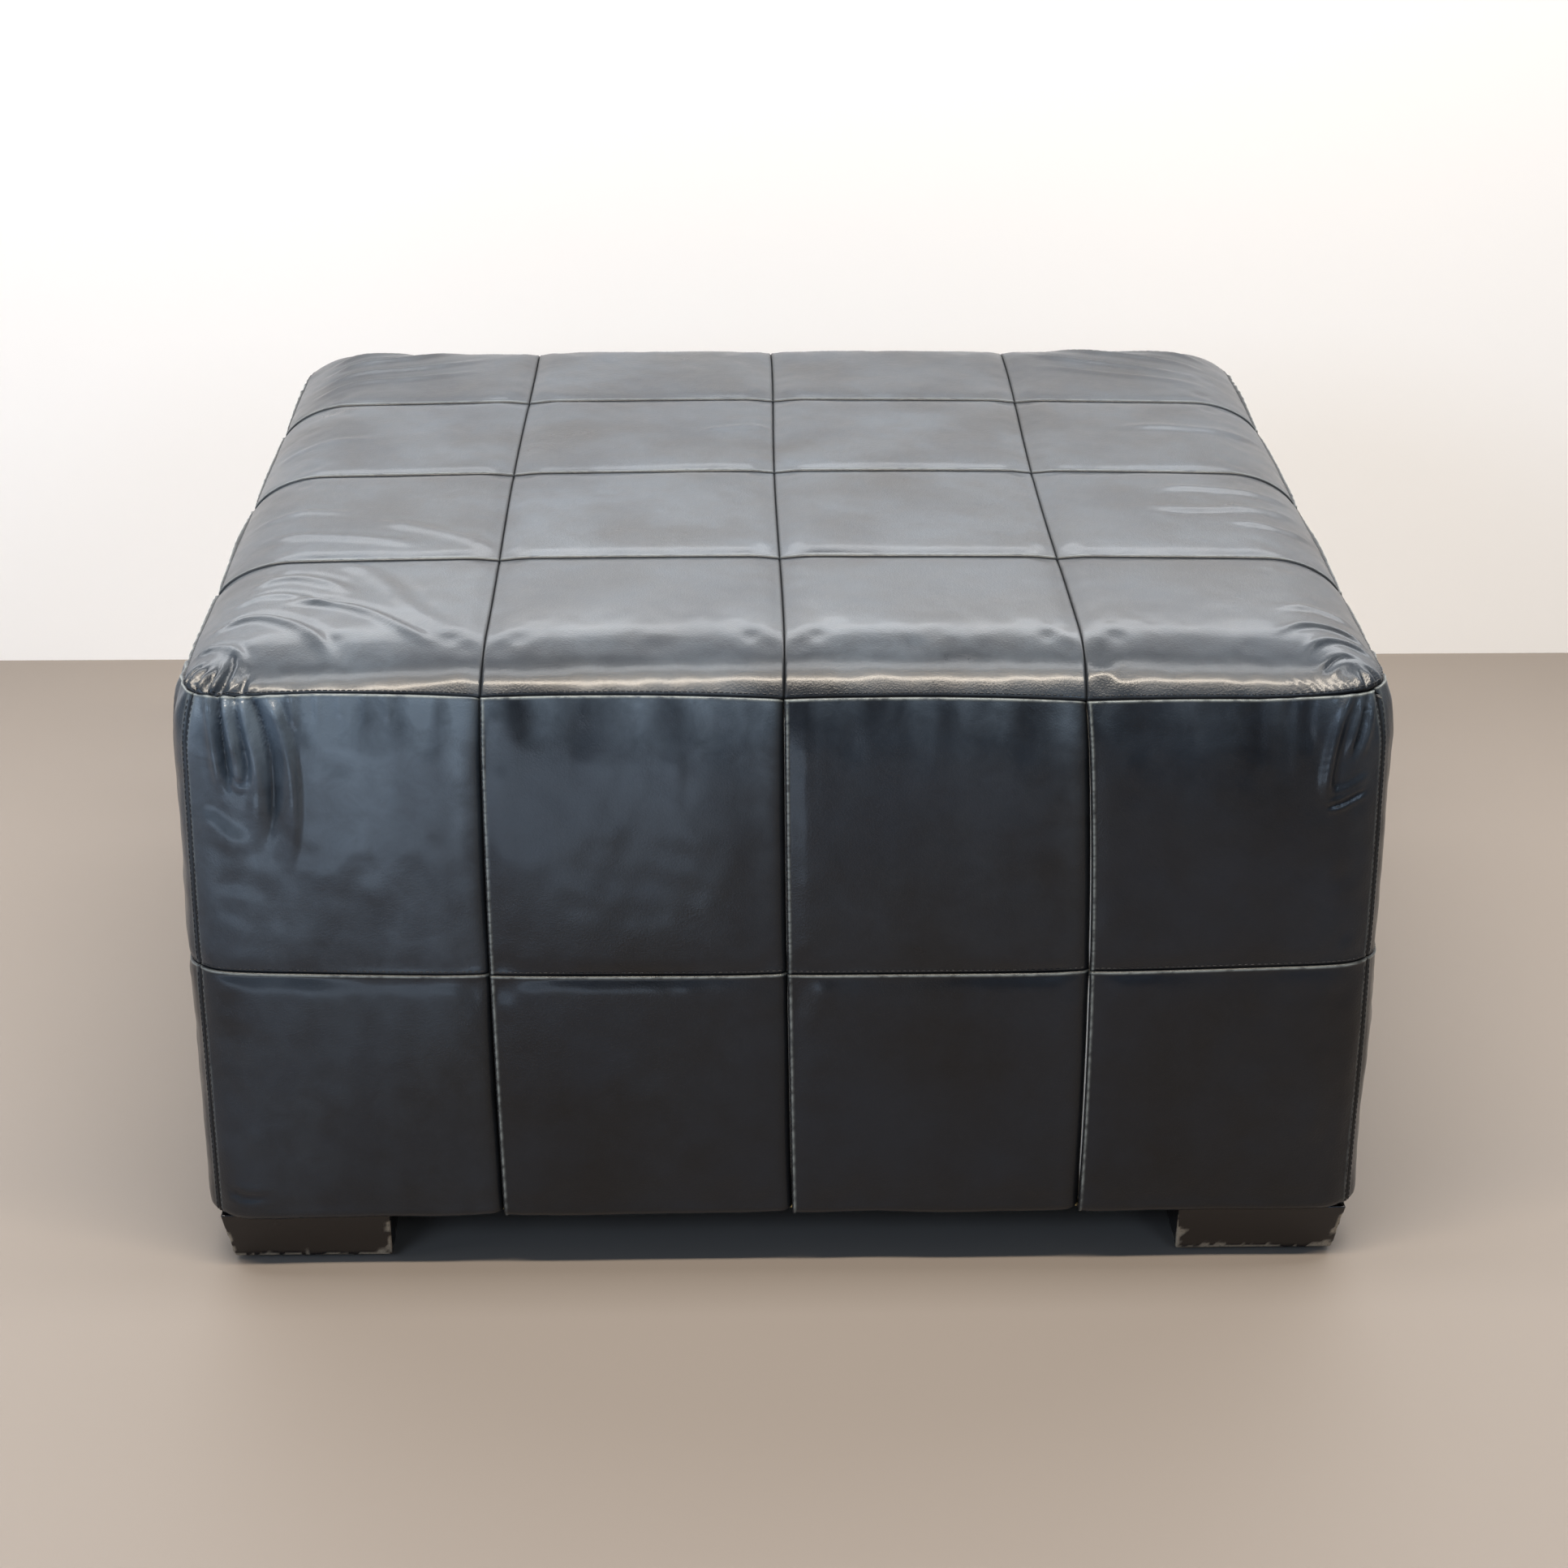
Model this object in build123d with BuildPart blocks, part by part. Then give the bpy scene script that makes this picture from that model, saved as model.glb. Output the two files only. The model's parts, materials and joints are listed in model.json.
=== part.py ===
from build123d import *

import os
from itertools import product

# Square block ottoman: a patchwork leather cover over wadding and foam, on a pine frame with four
# block feet. Millimetres, +Z up, origin on the floor under the middle of the ottoman, front side
# towards -Y. Each physical piece is written to parts/ as its own STEP file.

# ---------------------------------------------------------------- driving sizes
# Leather cover
patch_pitch = 198.0  # seam to seam across the top and along each side
patches_across = 4
side_bulge = 12.0  # padded sides stand out this far past the outer seam line
lower_row_height = 188.0
upper_row_height = 200.0
shoulder_drop = 29.4  # top of the ottoman down to the seam round its shoulder
shoulder_radius = 48.0
corner_radius = 50.0
leather_thickness = 1.4
seam_gap = 0.2  # neighbouring patches meet edge to edge this far apart
hem_width = 50.0  # leather turned in under the frame
hem_radius = 6.0

# Padding
layer_gap = 0.1  # soft layers and skins lie this far apart
wadding_thickness = 6.0
side_foam_thickness = 20.0
top_foam_thickness = 80.0

# Frame
skin_thickness = 3.0  # hardboard nailed round the outside
post_size = 36.0
rail_thickness = 22.0
base_rail_depth = 70.0
top_rail_depth = 60.0
deck_thickness = 12.0
deck_vent_radius = 16.0
deck_vent_pitch = 190.0
bearer_spacing = 236.0
corner_block_leg = 120.0
corner_block_thickness = 25.0

# Underside and feet
dust_cover_thickness = 0.6
dust_cover_inset = 24.0  # from the cover's widest line
foot_width = 118.0
foot_height = 37.0
foot_taper = 7.0  # each outer face leans in by this much at the floor
foot_setback = 14.0
foot_edge_radius = 1.5
glide_thickness = 3.0
glide_radius = 15.0
glide_spigot_radius = 2.5
glide_spigot_length = 12.0
glide_past_bolt = 12.7  # each glide stands nearer the corner than its bolt, clear of the bolt's point

# Fasteners
bolt_radius = 4.0
bolt_length = 60.0
bolt_tip_chamfer = 1.0
bolt_depth_in_foot = 26.0
bolt_inset_from_post = 19.0
tee_nut_flange_radius = 11.0
tee_nut_flange_thickness = 1.5
tee_nut_barrel_radius = 5.0
tee_nut_barrel_length = 9.0
tee_nut_prong = 1.2
tee_nut_prong_length = 6.0
running_clearance = 0.05
screw_radius = 2.25
screw_head_radius = 4.3
screw_head_height = 2.6
frame_screw_length = 70.0
deck_screw_length = 40.0
screw_point_length = 4.0
screw_edge_distance = 17.0
screw_stagger = 12.0  # keeps the two screw directions in a post clear of each other
staple_wire = 0.9
staple_crown = 10.0
staple_leg = 7.0
staple_pitch = 62.0
staples_per_side = 7

# ---------------------------------------------------------------- worked-out sizes
cover_half = patches_across * patch_pitch / 2 + side_bulge
foot_top = glide_thickness + foot_height
cover_bottom = foot_top + dust_cover_thickness
mid_seam_height = cover_bottom + lower_row_height
top_seam_height = mid_seam_height + upper_row_height
cover_top = top_seam_height + shoulder_drop

wadding_inset = leather_thickness + layer_gap
foam_inset = wadding_inset + wadding_thickness + layer_gap
skin_inset = foam_inset + side_foam_thickness + layer_gap
frame_half = cover_half - skin_inset - skin_thickness
frame_bottom = cover_bottom + leather_thickness
padding_bottom = frame_bottom + layer_gap
deck_top = cover_top - foam_inset - top_foam_thickness
frame_top = deck_top - deck_thickness
rail_middle = frame_half - rail_thickness / 2
rail_inner = frame_half - rail_thickness
post_inner = frame_half - post_size
post_middle = frame_half - post_size / 2
rail_length = 2 * post_inner
bolt_place = post_inner - bolt_inset_from_post
block_top = frame_bottom + corner_block_thickness
foot_outer = cover_half - foot_setback
foot_middle = foot_outer - foot_width / 2
glide_place = bolt_place + glide_past_bolt
reach = 2 * cover_half  # longer than the ottoman, for cutting shapes

corners = {"front_left": (-1, -1), "front_right": (1, -1), "back_right": (1, 1), "back_left": (-1, 1)}
sides = {"front": 0, "right": 90, "back": 180, "left": 270}  # turned about Z from the front

os.makedirs("parts", exist_ok=True)


def save(part, name):
    part.label = name
    export_step(part, f"parts/{name}.step")


def padded_block(inset, bottom, bottom_radius=0.0):
    """The round-edged block that every soft layer follows, inset from the leather's outer face."""
    width = 2 * (cover_half - inset)
    with BuildPart() as block:
        with BuildSketch(Plane.XY.offset(bottom)):
            RectangleRounded(width, width, corner_radius - inset)
        extrude(amount=cover_top - inset - bottom)
        fillet(block.faces().sort_by(Axis.Z)[-1].edges(), shoulder_radius - inset)
        if bottom_radius:
            fillet(block.faces().sort_by(Axis.Z)[0].edges(), bottom_radius)
    return block.part


def patch_limits(index):
    """Low and high limit of a patch, the outer ones reaching past the cover's sides."""
    low = (index - patches_across / 2) * patch_pitch + seam_gap / 2
    high = low + patch_pitch - seam_gap
    if index == 0:
        low = -reach
    if index == patches_across - 1:
        high = reach
    return low, high


def box_between(low, high, mode):
    """A box from one corner point to the opposite one."""
    size = [b - a for a, b in zip(low, high)]
    with Locations(tuple((a + b) / 2 for a, b in zip(low, high))):
        Box(*size, mode=mode)


# ---------------------------------------------------------------- fasteners
def screw(length):
    """Countersunk wood screw along -Z, its flat head at the origin."""
    with BuildPart() as wood_screw:
        with BuildSketch(Plane.XZ):
            with BuildLine():
                Polyline(
                    (0, 0),
                    (screw_head_radius, 0),
                    (screw_radius, -screw_head_height),
                    (screw_radius, -length + screw_point_length),
                    (0, -length),
                    close=True,
                )
            make_face()
        revolve(axis=Axis.Z)
    return wood_screw.part


def pointing(x, y, z, direction):
    """A place whose screw head faces along the direction."""
    return Plane(origin=(x, y, z), z_dir=direction).location


def frame_screw_places():
    places = []
    rails = (
        (frame_bottom, base_rail_depth),
        (frame_top - top_rail_depth, top_rail_depth),
    )
    for (sx, sy), (low, depth) in product(corners.values(), rails):
        for z in (low + screw_edge_distance, low + depth - screw_edge_distance):
            x_place = (sx * frame_half, sy * rail_middle, z - screw_stagger / 2)
            y_place = (sx * rail_middle, sy * frame_half, z + screw_stagger / 2)
            places.append(pointing(*x_place, (sx, 0, 0)))
            places.append(pointing(*y_place, (0, sy, 0)))
    bearer_z = frame_top - top_rail_depth / 2
    for x, sy, dz in product((-1, 1), (-1, 1), (-1, 1)):
        z = bearer_z + dz * (top_rail_depth / 2 - screw_edge_distance)
        places.append(pointing(x * bearer_spacing / 2, sy * frame_half, z, (0, sy, 0)))
    return places


def deck_screw_places():
    spread = (-bearer_spacing, 0, bearer_spacing)
    places = []
    for along, side in product(spread, (-1, 1)):
        places.append(pointing(along, side * rail_middle, deck_top, (0, 0, 1)))
        places.append(pointing(side * rail_middle, along, deck_top, (0, 0, 1)))
    for x, y in product((-1, 1), (-1, 1)):
        places.append(pointing(x * bearer_spacing / 2, y * bearer_spacing / 2, deck_top, (0, 0, 1)))
    return places


long_screw = screw(frame_screw_length)
short_screw = screw(deck_screw_length)
with BuildPart() as frame_screws:
    with Locations(*frame_screw_places()):
        add(long_screw)
    with Locations(*deck_screw_places()):
        add(short_screw)
save(frame_screws.part, "frame_screws")

bolt_bottom = foot_top - bolt_depth_in_foot
with BuildPart() as hanger_bolt:
    with BuildSketch(Plane.XZ):
        with BuildLine():
            Polyline(
                (0, bolt_bottom),
                (bolt_radius, bolt_bottom + 2 * bolt_radius),
                (bolt_radius, bolt_bottom + bolt_length - bolt_tip_chamfer),
                (bolt_radius - bolt_tip_chamfer, bolt_bottom + bolt_length),
                (0, bolt_bottom + bolt_length),
                close=True,
            )
        make_face()
    revolve(axis=Axis.Z)
with BuildPart() as hanger_bolts:
    with GridLocations(2 * bolt_place, 2 * bolt_place, 2, 2):
        add(hanger_bolt.part)
save(hanger_bolts.part, "hanger_bolts")

with BuildPart() as tee_nut:
    with BuildSketch(Plane.XY.offset(block_top)):
        Circle(tee_nut_flange_radius)
    extrude(amount=tee_nut_flange_thickness)
    with BuildSketch(Plane.XY.offset(block_top)):
        Circle(tee_nut_barrel_radius)
    extrude(amount=-tee_nut_barrel_length)
    with BuildSketch(Plane.XY.offset(block_top)):
        with PolarLocations(tee_nut_flange_radius - tee_nut_prong, 4):
            Rectangle(tee_nut_prong, 2 * tee_nut_prong)
    extrude(amount=-tee_nut_prong_length)
    with BuildSketch(Plane.XY.offset(block_top + tee_nut_flange_thickness)):
        Circle(bolt_radius + running_clearance)
    extrude(amount=-tee_nut_flange_thickness - tee_nut_barrel_length, mode=Mode.SUBTRACT)
with BuildPart() as tee_nuts:
    with GridLocations(2 * bolt_place, 2 * bolt_place, 2, 2):
        add(tee_nut.part)
save(tee_nuts.part, "tee_nuts")

# One staple along X under the dust cover, its legs driven up into the rail.
with BuildPart() as staple:
    box_between(
        (-staple_crown / 2, -staple_wire / 2, foot_top - staple_wire),
        (staple_crown / 2, staple_wire / 2, foot_top),
        Mode.ADD,
    )
    for end in (-1, 1):
        leg = end * (staple_crown - staple_wire) / 2
        box_between(
            (leg - staple_wire / 2, -staple_wire / 2, foot_top - staple_wire),
            (leg + staple_wire / 2, staple_wire / 2, foot_top + staple_leg),
            Mode.ADD,
        )
with BuildPart() as hem_staples:
    for turn in sides.values():
        with Locations(Location((0, 0, 0), (0, 0, turn))):
            with Locations((0, -rail_middle)):
                with GridLocations(staple_pitch, 1, staples_per_side, 1):
                    add(staple.part)
save(hem_staples.part, "hem_staples")

# ---------------------------------------------------------------- timber frame
# Every rail is square to its two posts, so one rail turned about Z makes the four.
for rail_name, low, depth in (
    ("base_rail", frame_bottom, base_rail_depth),
    ("top_rail", frame_top - top_rail_depth, top_rail_depth),
):
    for side, turn in sides.items():
        with BuildPart() as rail:
            with BuildSketch(Plane.XY.offset(low).rotated((0, 0, turn))):
                with Locations((0, -rail_middle)):
                    Rectangle(rail_length, rail_thickness)
            extrude(amount=depth)
            add(frame_screws.part, mode=Mode.SUBTRACT)
            if rail_name == "base_rail":
                add(hem_staples.part, mode=Mode.SUBTRACT)
        save(rail.part, f"{rail_name}_{side}")

for corner, (sx, sy) in corners.items():
    with BuildPart() as post:
        with BuildSketch(Plane.XY.offset(frame_bottom)):
            with Locations((sx * post_middle, sy * post_middle)):
                Rectangle(post_size, post_size)
        extrude(amount=frame_top - frame_bottom)
        add(frame_screws.part, mode=Mode.SUBTRACT)
    save(post.part, f"corner_post_{corner}")

# Triangular glue blocks in the base frame's corners, notched round the posts, hold the tee nuts.
with BuildPart() as corner_block:
    with BuildSketch(Plane.XY.offset(frame_bottom)):
        with BuildLine():
            Polyline(
                (rail_inner, rail_inner - corner_block_leg),
                (rail_inner, post_inner),
                (post_inner, post_inner),
                (post_inner, rail_inner),
                (rail_inner - corner_block_leg, rail_inner),
                close=True,
            )
        make_face()
        with Locations((bolt_place, bolt_place)):
            Circle(tee_nut_barrel_radius + running_clearance, mode=Mode.SUBTRACT)
    extrude(amount=corner_block_thickness)
with BuildPart() as corner_blocks:
    for turn in sides.values():
        with Locations(Location((0, 0, 0), (0, 0, turn))):
            add(corner_block.part)
    add(tee_nuts.part, mode=Mode.SUBTRACT)
save(corner_blocks.part, "corner_blocks")

with BuildPart() as deck_bearers:
    with BuildSketch(Plane.XY.offset(frame_top - top_rail_depth)):
        with GridLocations(bearer_spacing, 1, 2, 1):
            Rectangle(rail_thickness, 2 * rail_inner)
    extrude(amount=top_rail_depth)
    add(frame_screws.part, mode=Mode.SUBTRACT)
save(deck_bearers.part, "deck_bearers")

with BuildPart() as plywood_deck:
    with BuildSketch(Plane.XY.offset(frame_top)):
        Rectangle(2 * frame_half, 2 * frame_half)
        with GridLocations(deck_vent_pitch, deck_vent_pitch, 3, 3):
            Circle(deck_vent_radius, mode=Mode.SUBTRACT)
    extrude(amount=deck_thickness)
    add(frame_screws.part, mode=Mode.SUBTRACT)
save(plywood_deck.part, "plywood_deck")

# Hardboard skins: the front and back ones cover the edges of the left and right ones.
for side, turn in sides.items():
    skin_width = 2 * frame_half
    if side in ("front", "back"):
        skin_width += 2 * skin_thickness
    with BuildPart() as skin:
        with BuildSketch(Plane.XY.offset(frame_bottom).rotated((0, 0, turn))):
            with Locations((0, -frame_half - skin_thickness / 2)):
                Rectangle(skin_width, skin_thickness)
        extrude(amount=deck_top - frame_bottom)
    save(skin.part, f"side_skin_{side}")

# ---------------------------------------------------------------- padding
top_foam = padded_block(foam_inset, deck_top)
save(top_foam, "top_foam")

foam_inner = cover_half - skin_inset + layer_gap
with BuildPart() as foam_ring:
    with BuildSketch(Plane.XY.offset(padding_bottom)):
        RectangleRounded(
            2 * (cover_half - foam_inset), 2 * (cover_half - foam_inset), corner_radius - foam_inset
        )
        Rectangle(2 * foam_inner, 2 * foam_inner, mode=Mode.SUBTRACT)
    extrude(amount=deck_top - padding_bottom)
for side, (sx, sy) in {"front": (0, -1), "right": (1, 0), "back": (0, 1), "left": (-1, 0)}.items():
    with BuildPart() as side_foam:
        add(foam_ring.part)
        if sx:
            across = sorted((sx * foam_inner, sx * reach))
            box_between((across[0], -foam_inner, 0), (across[1], foam_inner, cover_top), Mode.INTERSECT)
        else:
            across = sorted((sy * foam_inner, sy * reach))
            box_between((-reach, across[0], 0), (reach, across[1], cover_top), Mode.INTERSECT)
    save(side_foam.part, f"side_foam_{side}")

wadding_outside = padded_block(wadding_inset, padding_bottom, hem_radius - wadding_inset)
wadding_inside = padded_block(wadding_inset + wadding_thickness, padding_bottom)
with BuildPart() as wadding_wrap:
    add(wadding_outside)
    add(wadding_inside, mode=Mode.SUBTRACT)
save(wadding_wrap.part, "wadding_wrap")

# ---------------------------------------------------------------- leather cover
cover_outside = padded_block(0, cover_bottom, hem_radius)
cover_inside = padded_block(leather_thickness, frame_bottom, hem_radius - leather_thickness)
hem_inner = cover_half - hem_width
with BuildPart() as leather_shell:
    add(cover_outside)
    add(cover_inside, mode=Mode.SUBTRACT)
    box_between(
        (-hem_inner, -hem_inner, cover_bottom), (hem_inner, hem_inner, frame_bottom), Mode.SUBTRACT
    )

# Top patches: rows a to d run from front to back, columns 1 to 4 from left to right.
for (row, row_letter), column in product(enumerate("abcd"), range(patches_across)):
    x_low, x_high = patch_limits(column)
    y_low, y_high = patch_limits(row)
    with BuildPart() as top_patch:
        add(leather_shell.part)
        box_between(
            (x_low, y_low, top_seam_height + seam_gap / 2), (x_high, y_high, reach), Mode.INTERSECT
        )
    save(top_patch.part, f"top_patch_{row_letter}{column + 1}")

# Side patches: each side has an upper and a lower row of four, mitred at the corner seams.
# The lower row carries the hem that turns in under the frame and is stapled to the base rails.
side_rows = {
    "lower": (0, mid_seam_height - seam_gap / 2),
    "upper": (mid_seam_height + seam_gap / 2, top_seam_height - seam_gap / 2),
}
for (side, turn), (row_name, (low, high)) in product(sides.items(), side_rows.items()):
    with BuildPart() as patch_row:
        add(leather_shell.part)
        box_between((-reach, -reach, low), (reach, reach, high), Mode.INTERSECT)
        with BuildSketch(Plane.XY.rotated((0, 0, turn))):
            with BuildLine():
                Polyline(
                    (0, -seam_gap),
                    (-reach, -reach - seam_gap),
                    (reach, -reach - seam_gap),
                    close=True,
                )
            make_face()
            with GridLocations(patch_pitch, 1, patches_across - 1, 1):
                Rectangle(seam_gap, 4 * reach, mode=Mode.SUBTRACT)
        extrude(amount=cover_top, mode=Mode.INTERSECT)
        if row_name == "lower":
            add(hem_staples.part, mode=Mode.SUBTRACT)
    save(patch_row.part, f"side_{side}_{row_name}_patches")

# ---------------------------------------------------------------- underside and feet
with BuildPart() as dust_cover:
    with BuildSketch(Plane.XY.offset(foot_top)):
        Rectangle(2 * (cover_half - dust_cover_inset), 2 * (cover_half - dust_cover_inset))
        with GridLocations(2 * bolt_place, 2 * bolt_place, 2, 2):
            Circle(bolt_radius + running_clearance, mode=Mode.SUBTRACT)
    extrude(amount=dust_cover_thickness)
    add(hem_staples.part, mode=Mode.SUBTRACT)
save(dust_cover.part, "dust_cover")

with BuildPart() as foot_glides:
    with GridLocations(2 * glide_place, 2 * glide_place, 2, 2):
        Cylinder(glide_radius, glide_thickness, align=(Align.CENTER, Align.CENTER, Align.MIN))
    fillet(foot_glides.faces().filter_by(Plane.XY).sort_by(Axis.Z)[0:4].edges(), glide_thickness / 3)
    with BuildSketch(Plane.XY.offset(glide_thickness)):
        with GridLocations(2 * glide_place, 2 * glide_place, 2, 2):
            Circle(glide_spigot_radius)
    extrude(amount=glide_spigot_length)
save(foot_glides.part, "foot_glides")

for corner, (sx, sy) in corners.items():
    with BuildPart() as foot:
        bottom_width = foot_width - foot_taper
        with BuildSketch(Plane.XY.offset(glide_thickness)):
            with Locations((sx * (foot_middle - foot_taper / 2), sy * (foot_middle - foot_taper / 2))):
                Rectangle(bottom_width, bottom_width)
        with BuildSketch(Plane.XY.offset(foot_top)):
            with Locations((sx * foot_middle, sy * foot_middle)):
                Rectangle(foot_width, foot_width)
        loft(ruled=True)
        fillet(foot.edges().filter_by(lambda edge: edge.length < 2 * foot_height), foot_edge_radius)
        chamfer(foot.faces().sort_by(Axis.Z)[0].edges(), foot_edge_radius / 2)
        add(hanger_bolts.part, mode=Mode.SUBTRACT)
        add(foot_glides.part, mode=Mode.SUBTRACT)
    save(foot.part, f"foot_{corner}")

print(f"ottoman {2 * cover_half:.0f} x {2 * cover_half:.0f} x {cover_top:.0f} mm")
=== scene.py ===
import json
import math

import bmesh
import bpy
import numpy as np
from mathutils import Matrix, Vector

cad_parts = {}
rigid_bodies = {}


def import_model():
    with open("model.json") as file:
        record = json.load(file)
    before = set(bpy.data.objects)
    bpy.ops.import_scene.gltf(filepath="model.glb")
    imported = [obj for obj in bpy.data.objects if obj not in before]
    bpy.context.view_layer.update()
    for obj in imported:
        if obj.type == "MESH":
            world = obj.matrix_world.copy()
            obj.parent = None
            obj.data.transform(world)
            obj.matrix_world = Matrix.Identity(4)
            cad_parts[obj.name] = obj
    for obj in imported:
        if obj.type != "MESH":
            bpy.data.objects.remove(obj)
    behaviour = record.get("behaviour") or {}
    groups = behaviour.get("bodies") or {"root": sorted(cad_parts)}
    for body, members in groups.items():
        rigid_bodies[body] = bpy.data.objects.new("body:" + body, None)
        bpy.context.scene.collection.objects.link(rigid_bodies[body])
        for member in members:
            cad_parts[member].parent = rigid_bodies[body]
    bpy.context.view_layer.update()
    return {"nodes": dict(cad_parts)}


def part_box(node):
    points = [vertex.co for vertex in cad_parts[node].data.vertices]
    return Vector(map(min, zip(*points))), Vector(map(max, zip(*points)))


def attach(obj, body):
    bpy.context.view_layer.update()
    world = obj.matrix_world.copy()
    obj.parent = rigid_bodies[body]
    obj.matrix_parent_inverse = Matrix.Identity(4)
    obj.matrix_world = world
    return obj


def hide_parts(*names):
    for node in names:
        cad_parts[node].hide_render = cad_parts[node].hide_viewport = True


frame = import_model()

# Square block ottoman in black patchwork leather on four low feet. All shape code works in
# millimetres in the frame's own axes (front towards -Y) and meshes are made in metres.

mm = 0.001
rootBody = "root"


def boxMm(node):
    low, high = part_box(node)
    return np.array(low) / mm, np.array(high) / mm


# Sizes that the frame settles
patchLow, patchHigh = boxMm("top_patch_b2")
nextLow, _ = boxMm("top_patch_b3")
patchPitch = nextLow[0] - patchLow[0]
blockTop = patchHigh[2]
upperLow, upperHigh = boxMm("side_front_upper_patches")
lowerLow, lowerHigh = boxMm("side_front_lower_patches")
blockHalf = -upperLow[1]
topSeam = upperHigh[2]
midSeam = (upperLow[2] + lowerHigh[2]) / 2
hemBottom = lowerLow[2]
measures = {"half width": blockHalf, "height": blockTop, "pitch": patchPitch}
print("frame:", {name: round(float(size), 1) for name, size in measures.items()})

cover = {
    "flat": 343.0,  # level middle of the top, from the centre to where the shoulder begins
    "shoulderOut": 60.0,  # shoulder's reach sideways, more than its drop: the padding is soft
    "shoulderDown": 48.0,
    "crown": 3.5,  # the middle of the top stands this much over its edges
    "cornerRadius": 48.0,
    "cornerPower": 3.4,  # 2 is a round corner, more is squarer
    "shoulderRun": 66.0,  # leather's length over the shoulder
    "sideCornerRun": 45.0,
    "sideFlare": 5.6,  # sides swell out just below the shoulder seam
    "sideBelly": 2.0,
    "hemRadius": 7.0,
    "hemFlange": 30.0,
    "scallop": 2.2,  # the shoulder seam dips at each junction
    "smile": 6.0,  # the middle seam rises towards the corners
    "spacing": 2.8,  # mesh grid in the open middle of a patch
    "fineSpacing": 1.6,  # where creases are sharp
    "flangeDepth": 3.6,  # turned-in seam allowance that closes the seam from inside
    "seed": 41,
}
edgeSteps = np.array([0.0, 0.12, 0.3, 0.55, 0.85, 1.2, 1.6, 2.1, 2.7, 3.5, 4.6, 6.2, 8.4, 11.2])
seamAngle = math.acos(1 - (blockTop - topSeam) / cover["shoulderDown"])
seamHalf = cover["flat"] + cover["shoulderOut"] * math.sin(seamAngle)


# Small shape helpers


def softStep(x):
    x = np.clip(x, 0, 1)
    return x * x * (3 - 2 * x)


# Smooth random surface made of plane waves; lengths are wavelengths in mm.
def ripples(points, lengths, seed, count=26, direction=None, spread=0.4):
    rng = np.random.default_rng(seed)
    total = np.zeros(points.shape[:-1])
    for _ in range(count):
        length = rng.uniform(*lengths)
        way = rng.normal(size=points.shape[-1])
        if direction is not None:
            way = np.array(direction, float) + spread * way
        way = way / np.linalg.norm(way)
        phase = rng.uniform(0, 2 * math.pi)
        total += np.sin(points @ way * (2 * math.pi / length) + phase)
    return total / math.sqrt(count / 2)


# A curve through given points, as many short steps.
def smoothCurve(points, steps=48):
    points = np.array(points, float)
    ends = [2 * points[0] - points[1]], [2 * points[-1] - points[-2]]
    knots = np.concatenate([ends[0], points, ends[1]])
    spans = len(points) - 1
    out = []
    for at in np.linspace(0, spans, steps):
        k = min(int(at), spans - 1)
        f = at - k
        a, b, c, d = knots[k : k + 4]
        bend = (2 * a - 5 * b + 4 * c - d) * f**2 + (3 * b - a - 3 * c + d) * f**3
        out.append(0.5 * (2 * b + (c - a) * f + bend))
    return np.array(out)


# One fold: a rounded ridge along the curve with a hollow on its left side, or a sharp crease with
# a soft lip each side of it.
def foldHeight(flatPoints, fold):
    curve = smoothCurve(fold["points"])
    reach = fold["width"] * 4
    low = curve.min(axis=0) - reach
    high = curve.max(axis=0) + reach
    near = np.all((flatPoints > low) & (flatPoints < high), axis=-1)
    height = np.zeros(flatPoints.shape[:-1])
    if not near.any():
        return height
    here = flatPoints[near]
    gaps = here[:, None, :] - curve[None, :, :]
    nearest = np.argmin((gaps**2).sum(axis=-1), axis=1)
    along = np.gradient(curve, axis=0)
    along /= np.linalg.norm(along, axis=1)[:, None]
    step = gaps[np.arange(len(here)), nearest]
    way = along[nearest]
    side = way[:, 0] * step[:, 1] - way[:, 1] * step[:, 0]
    past = np.abs((way * step).sum(axis=1))
    share = nearest / (len(curve) - 1)
    fadeIn, fadeOut = fold.get("fades", (0.25, 0.35))
    fade = softStep(share / fadeIn) * softStep((1 - share) / fadeOut)
    fade *= np.exp(-((past / fold["width"]) ** 2))
    width = fold["width"]
    if fold.get("crease"):
        cut = np.exp(-np.abs(side) / (0.42 * width))
        lips = np.exp(-(((np.abs(side) - 1.35 * width) / (0.75 * width)) ** 2))
        height[near] = fold["height"] * fade * (0.6 * lips - cut)
    else:
        ridge = np.exp(-((side / width) ** 2))
        hollow = np.exp(-(((side - 1.5 * width) / (0.9 * width)) ** 2))
        height[near] = fold["height"] * fade * (ridge - fold.get("hollow", 0.4) * hollow)
    return height


# The padded block's plain form


def crownDrop(x, y, ring):
    return cover["crown"] * (x**2 + y**2) / cover["flat"] ** 2 * (1 - ring**2)


# Height of the shoulder seam along a side; it dips where column seams meet it.
seamTilt = {"front": (-1.6, -2.4), "right": (0.4, 1.0), "back": (0.0, -0.8), "left": (0.2, 1.2)}


def seamRise(side, along):
    lift, tilt = seamTilt[side]
    wave = np.abs(np.sin(math.pi * along / patchPitch)) ** 0.8
    fade = 1 - softStep((np.abs(along) - 300) / 90)
    return (cover["scallop"] * (wave - 0.5) + lift + tilt * along / 200) * fade
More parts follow.
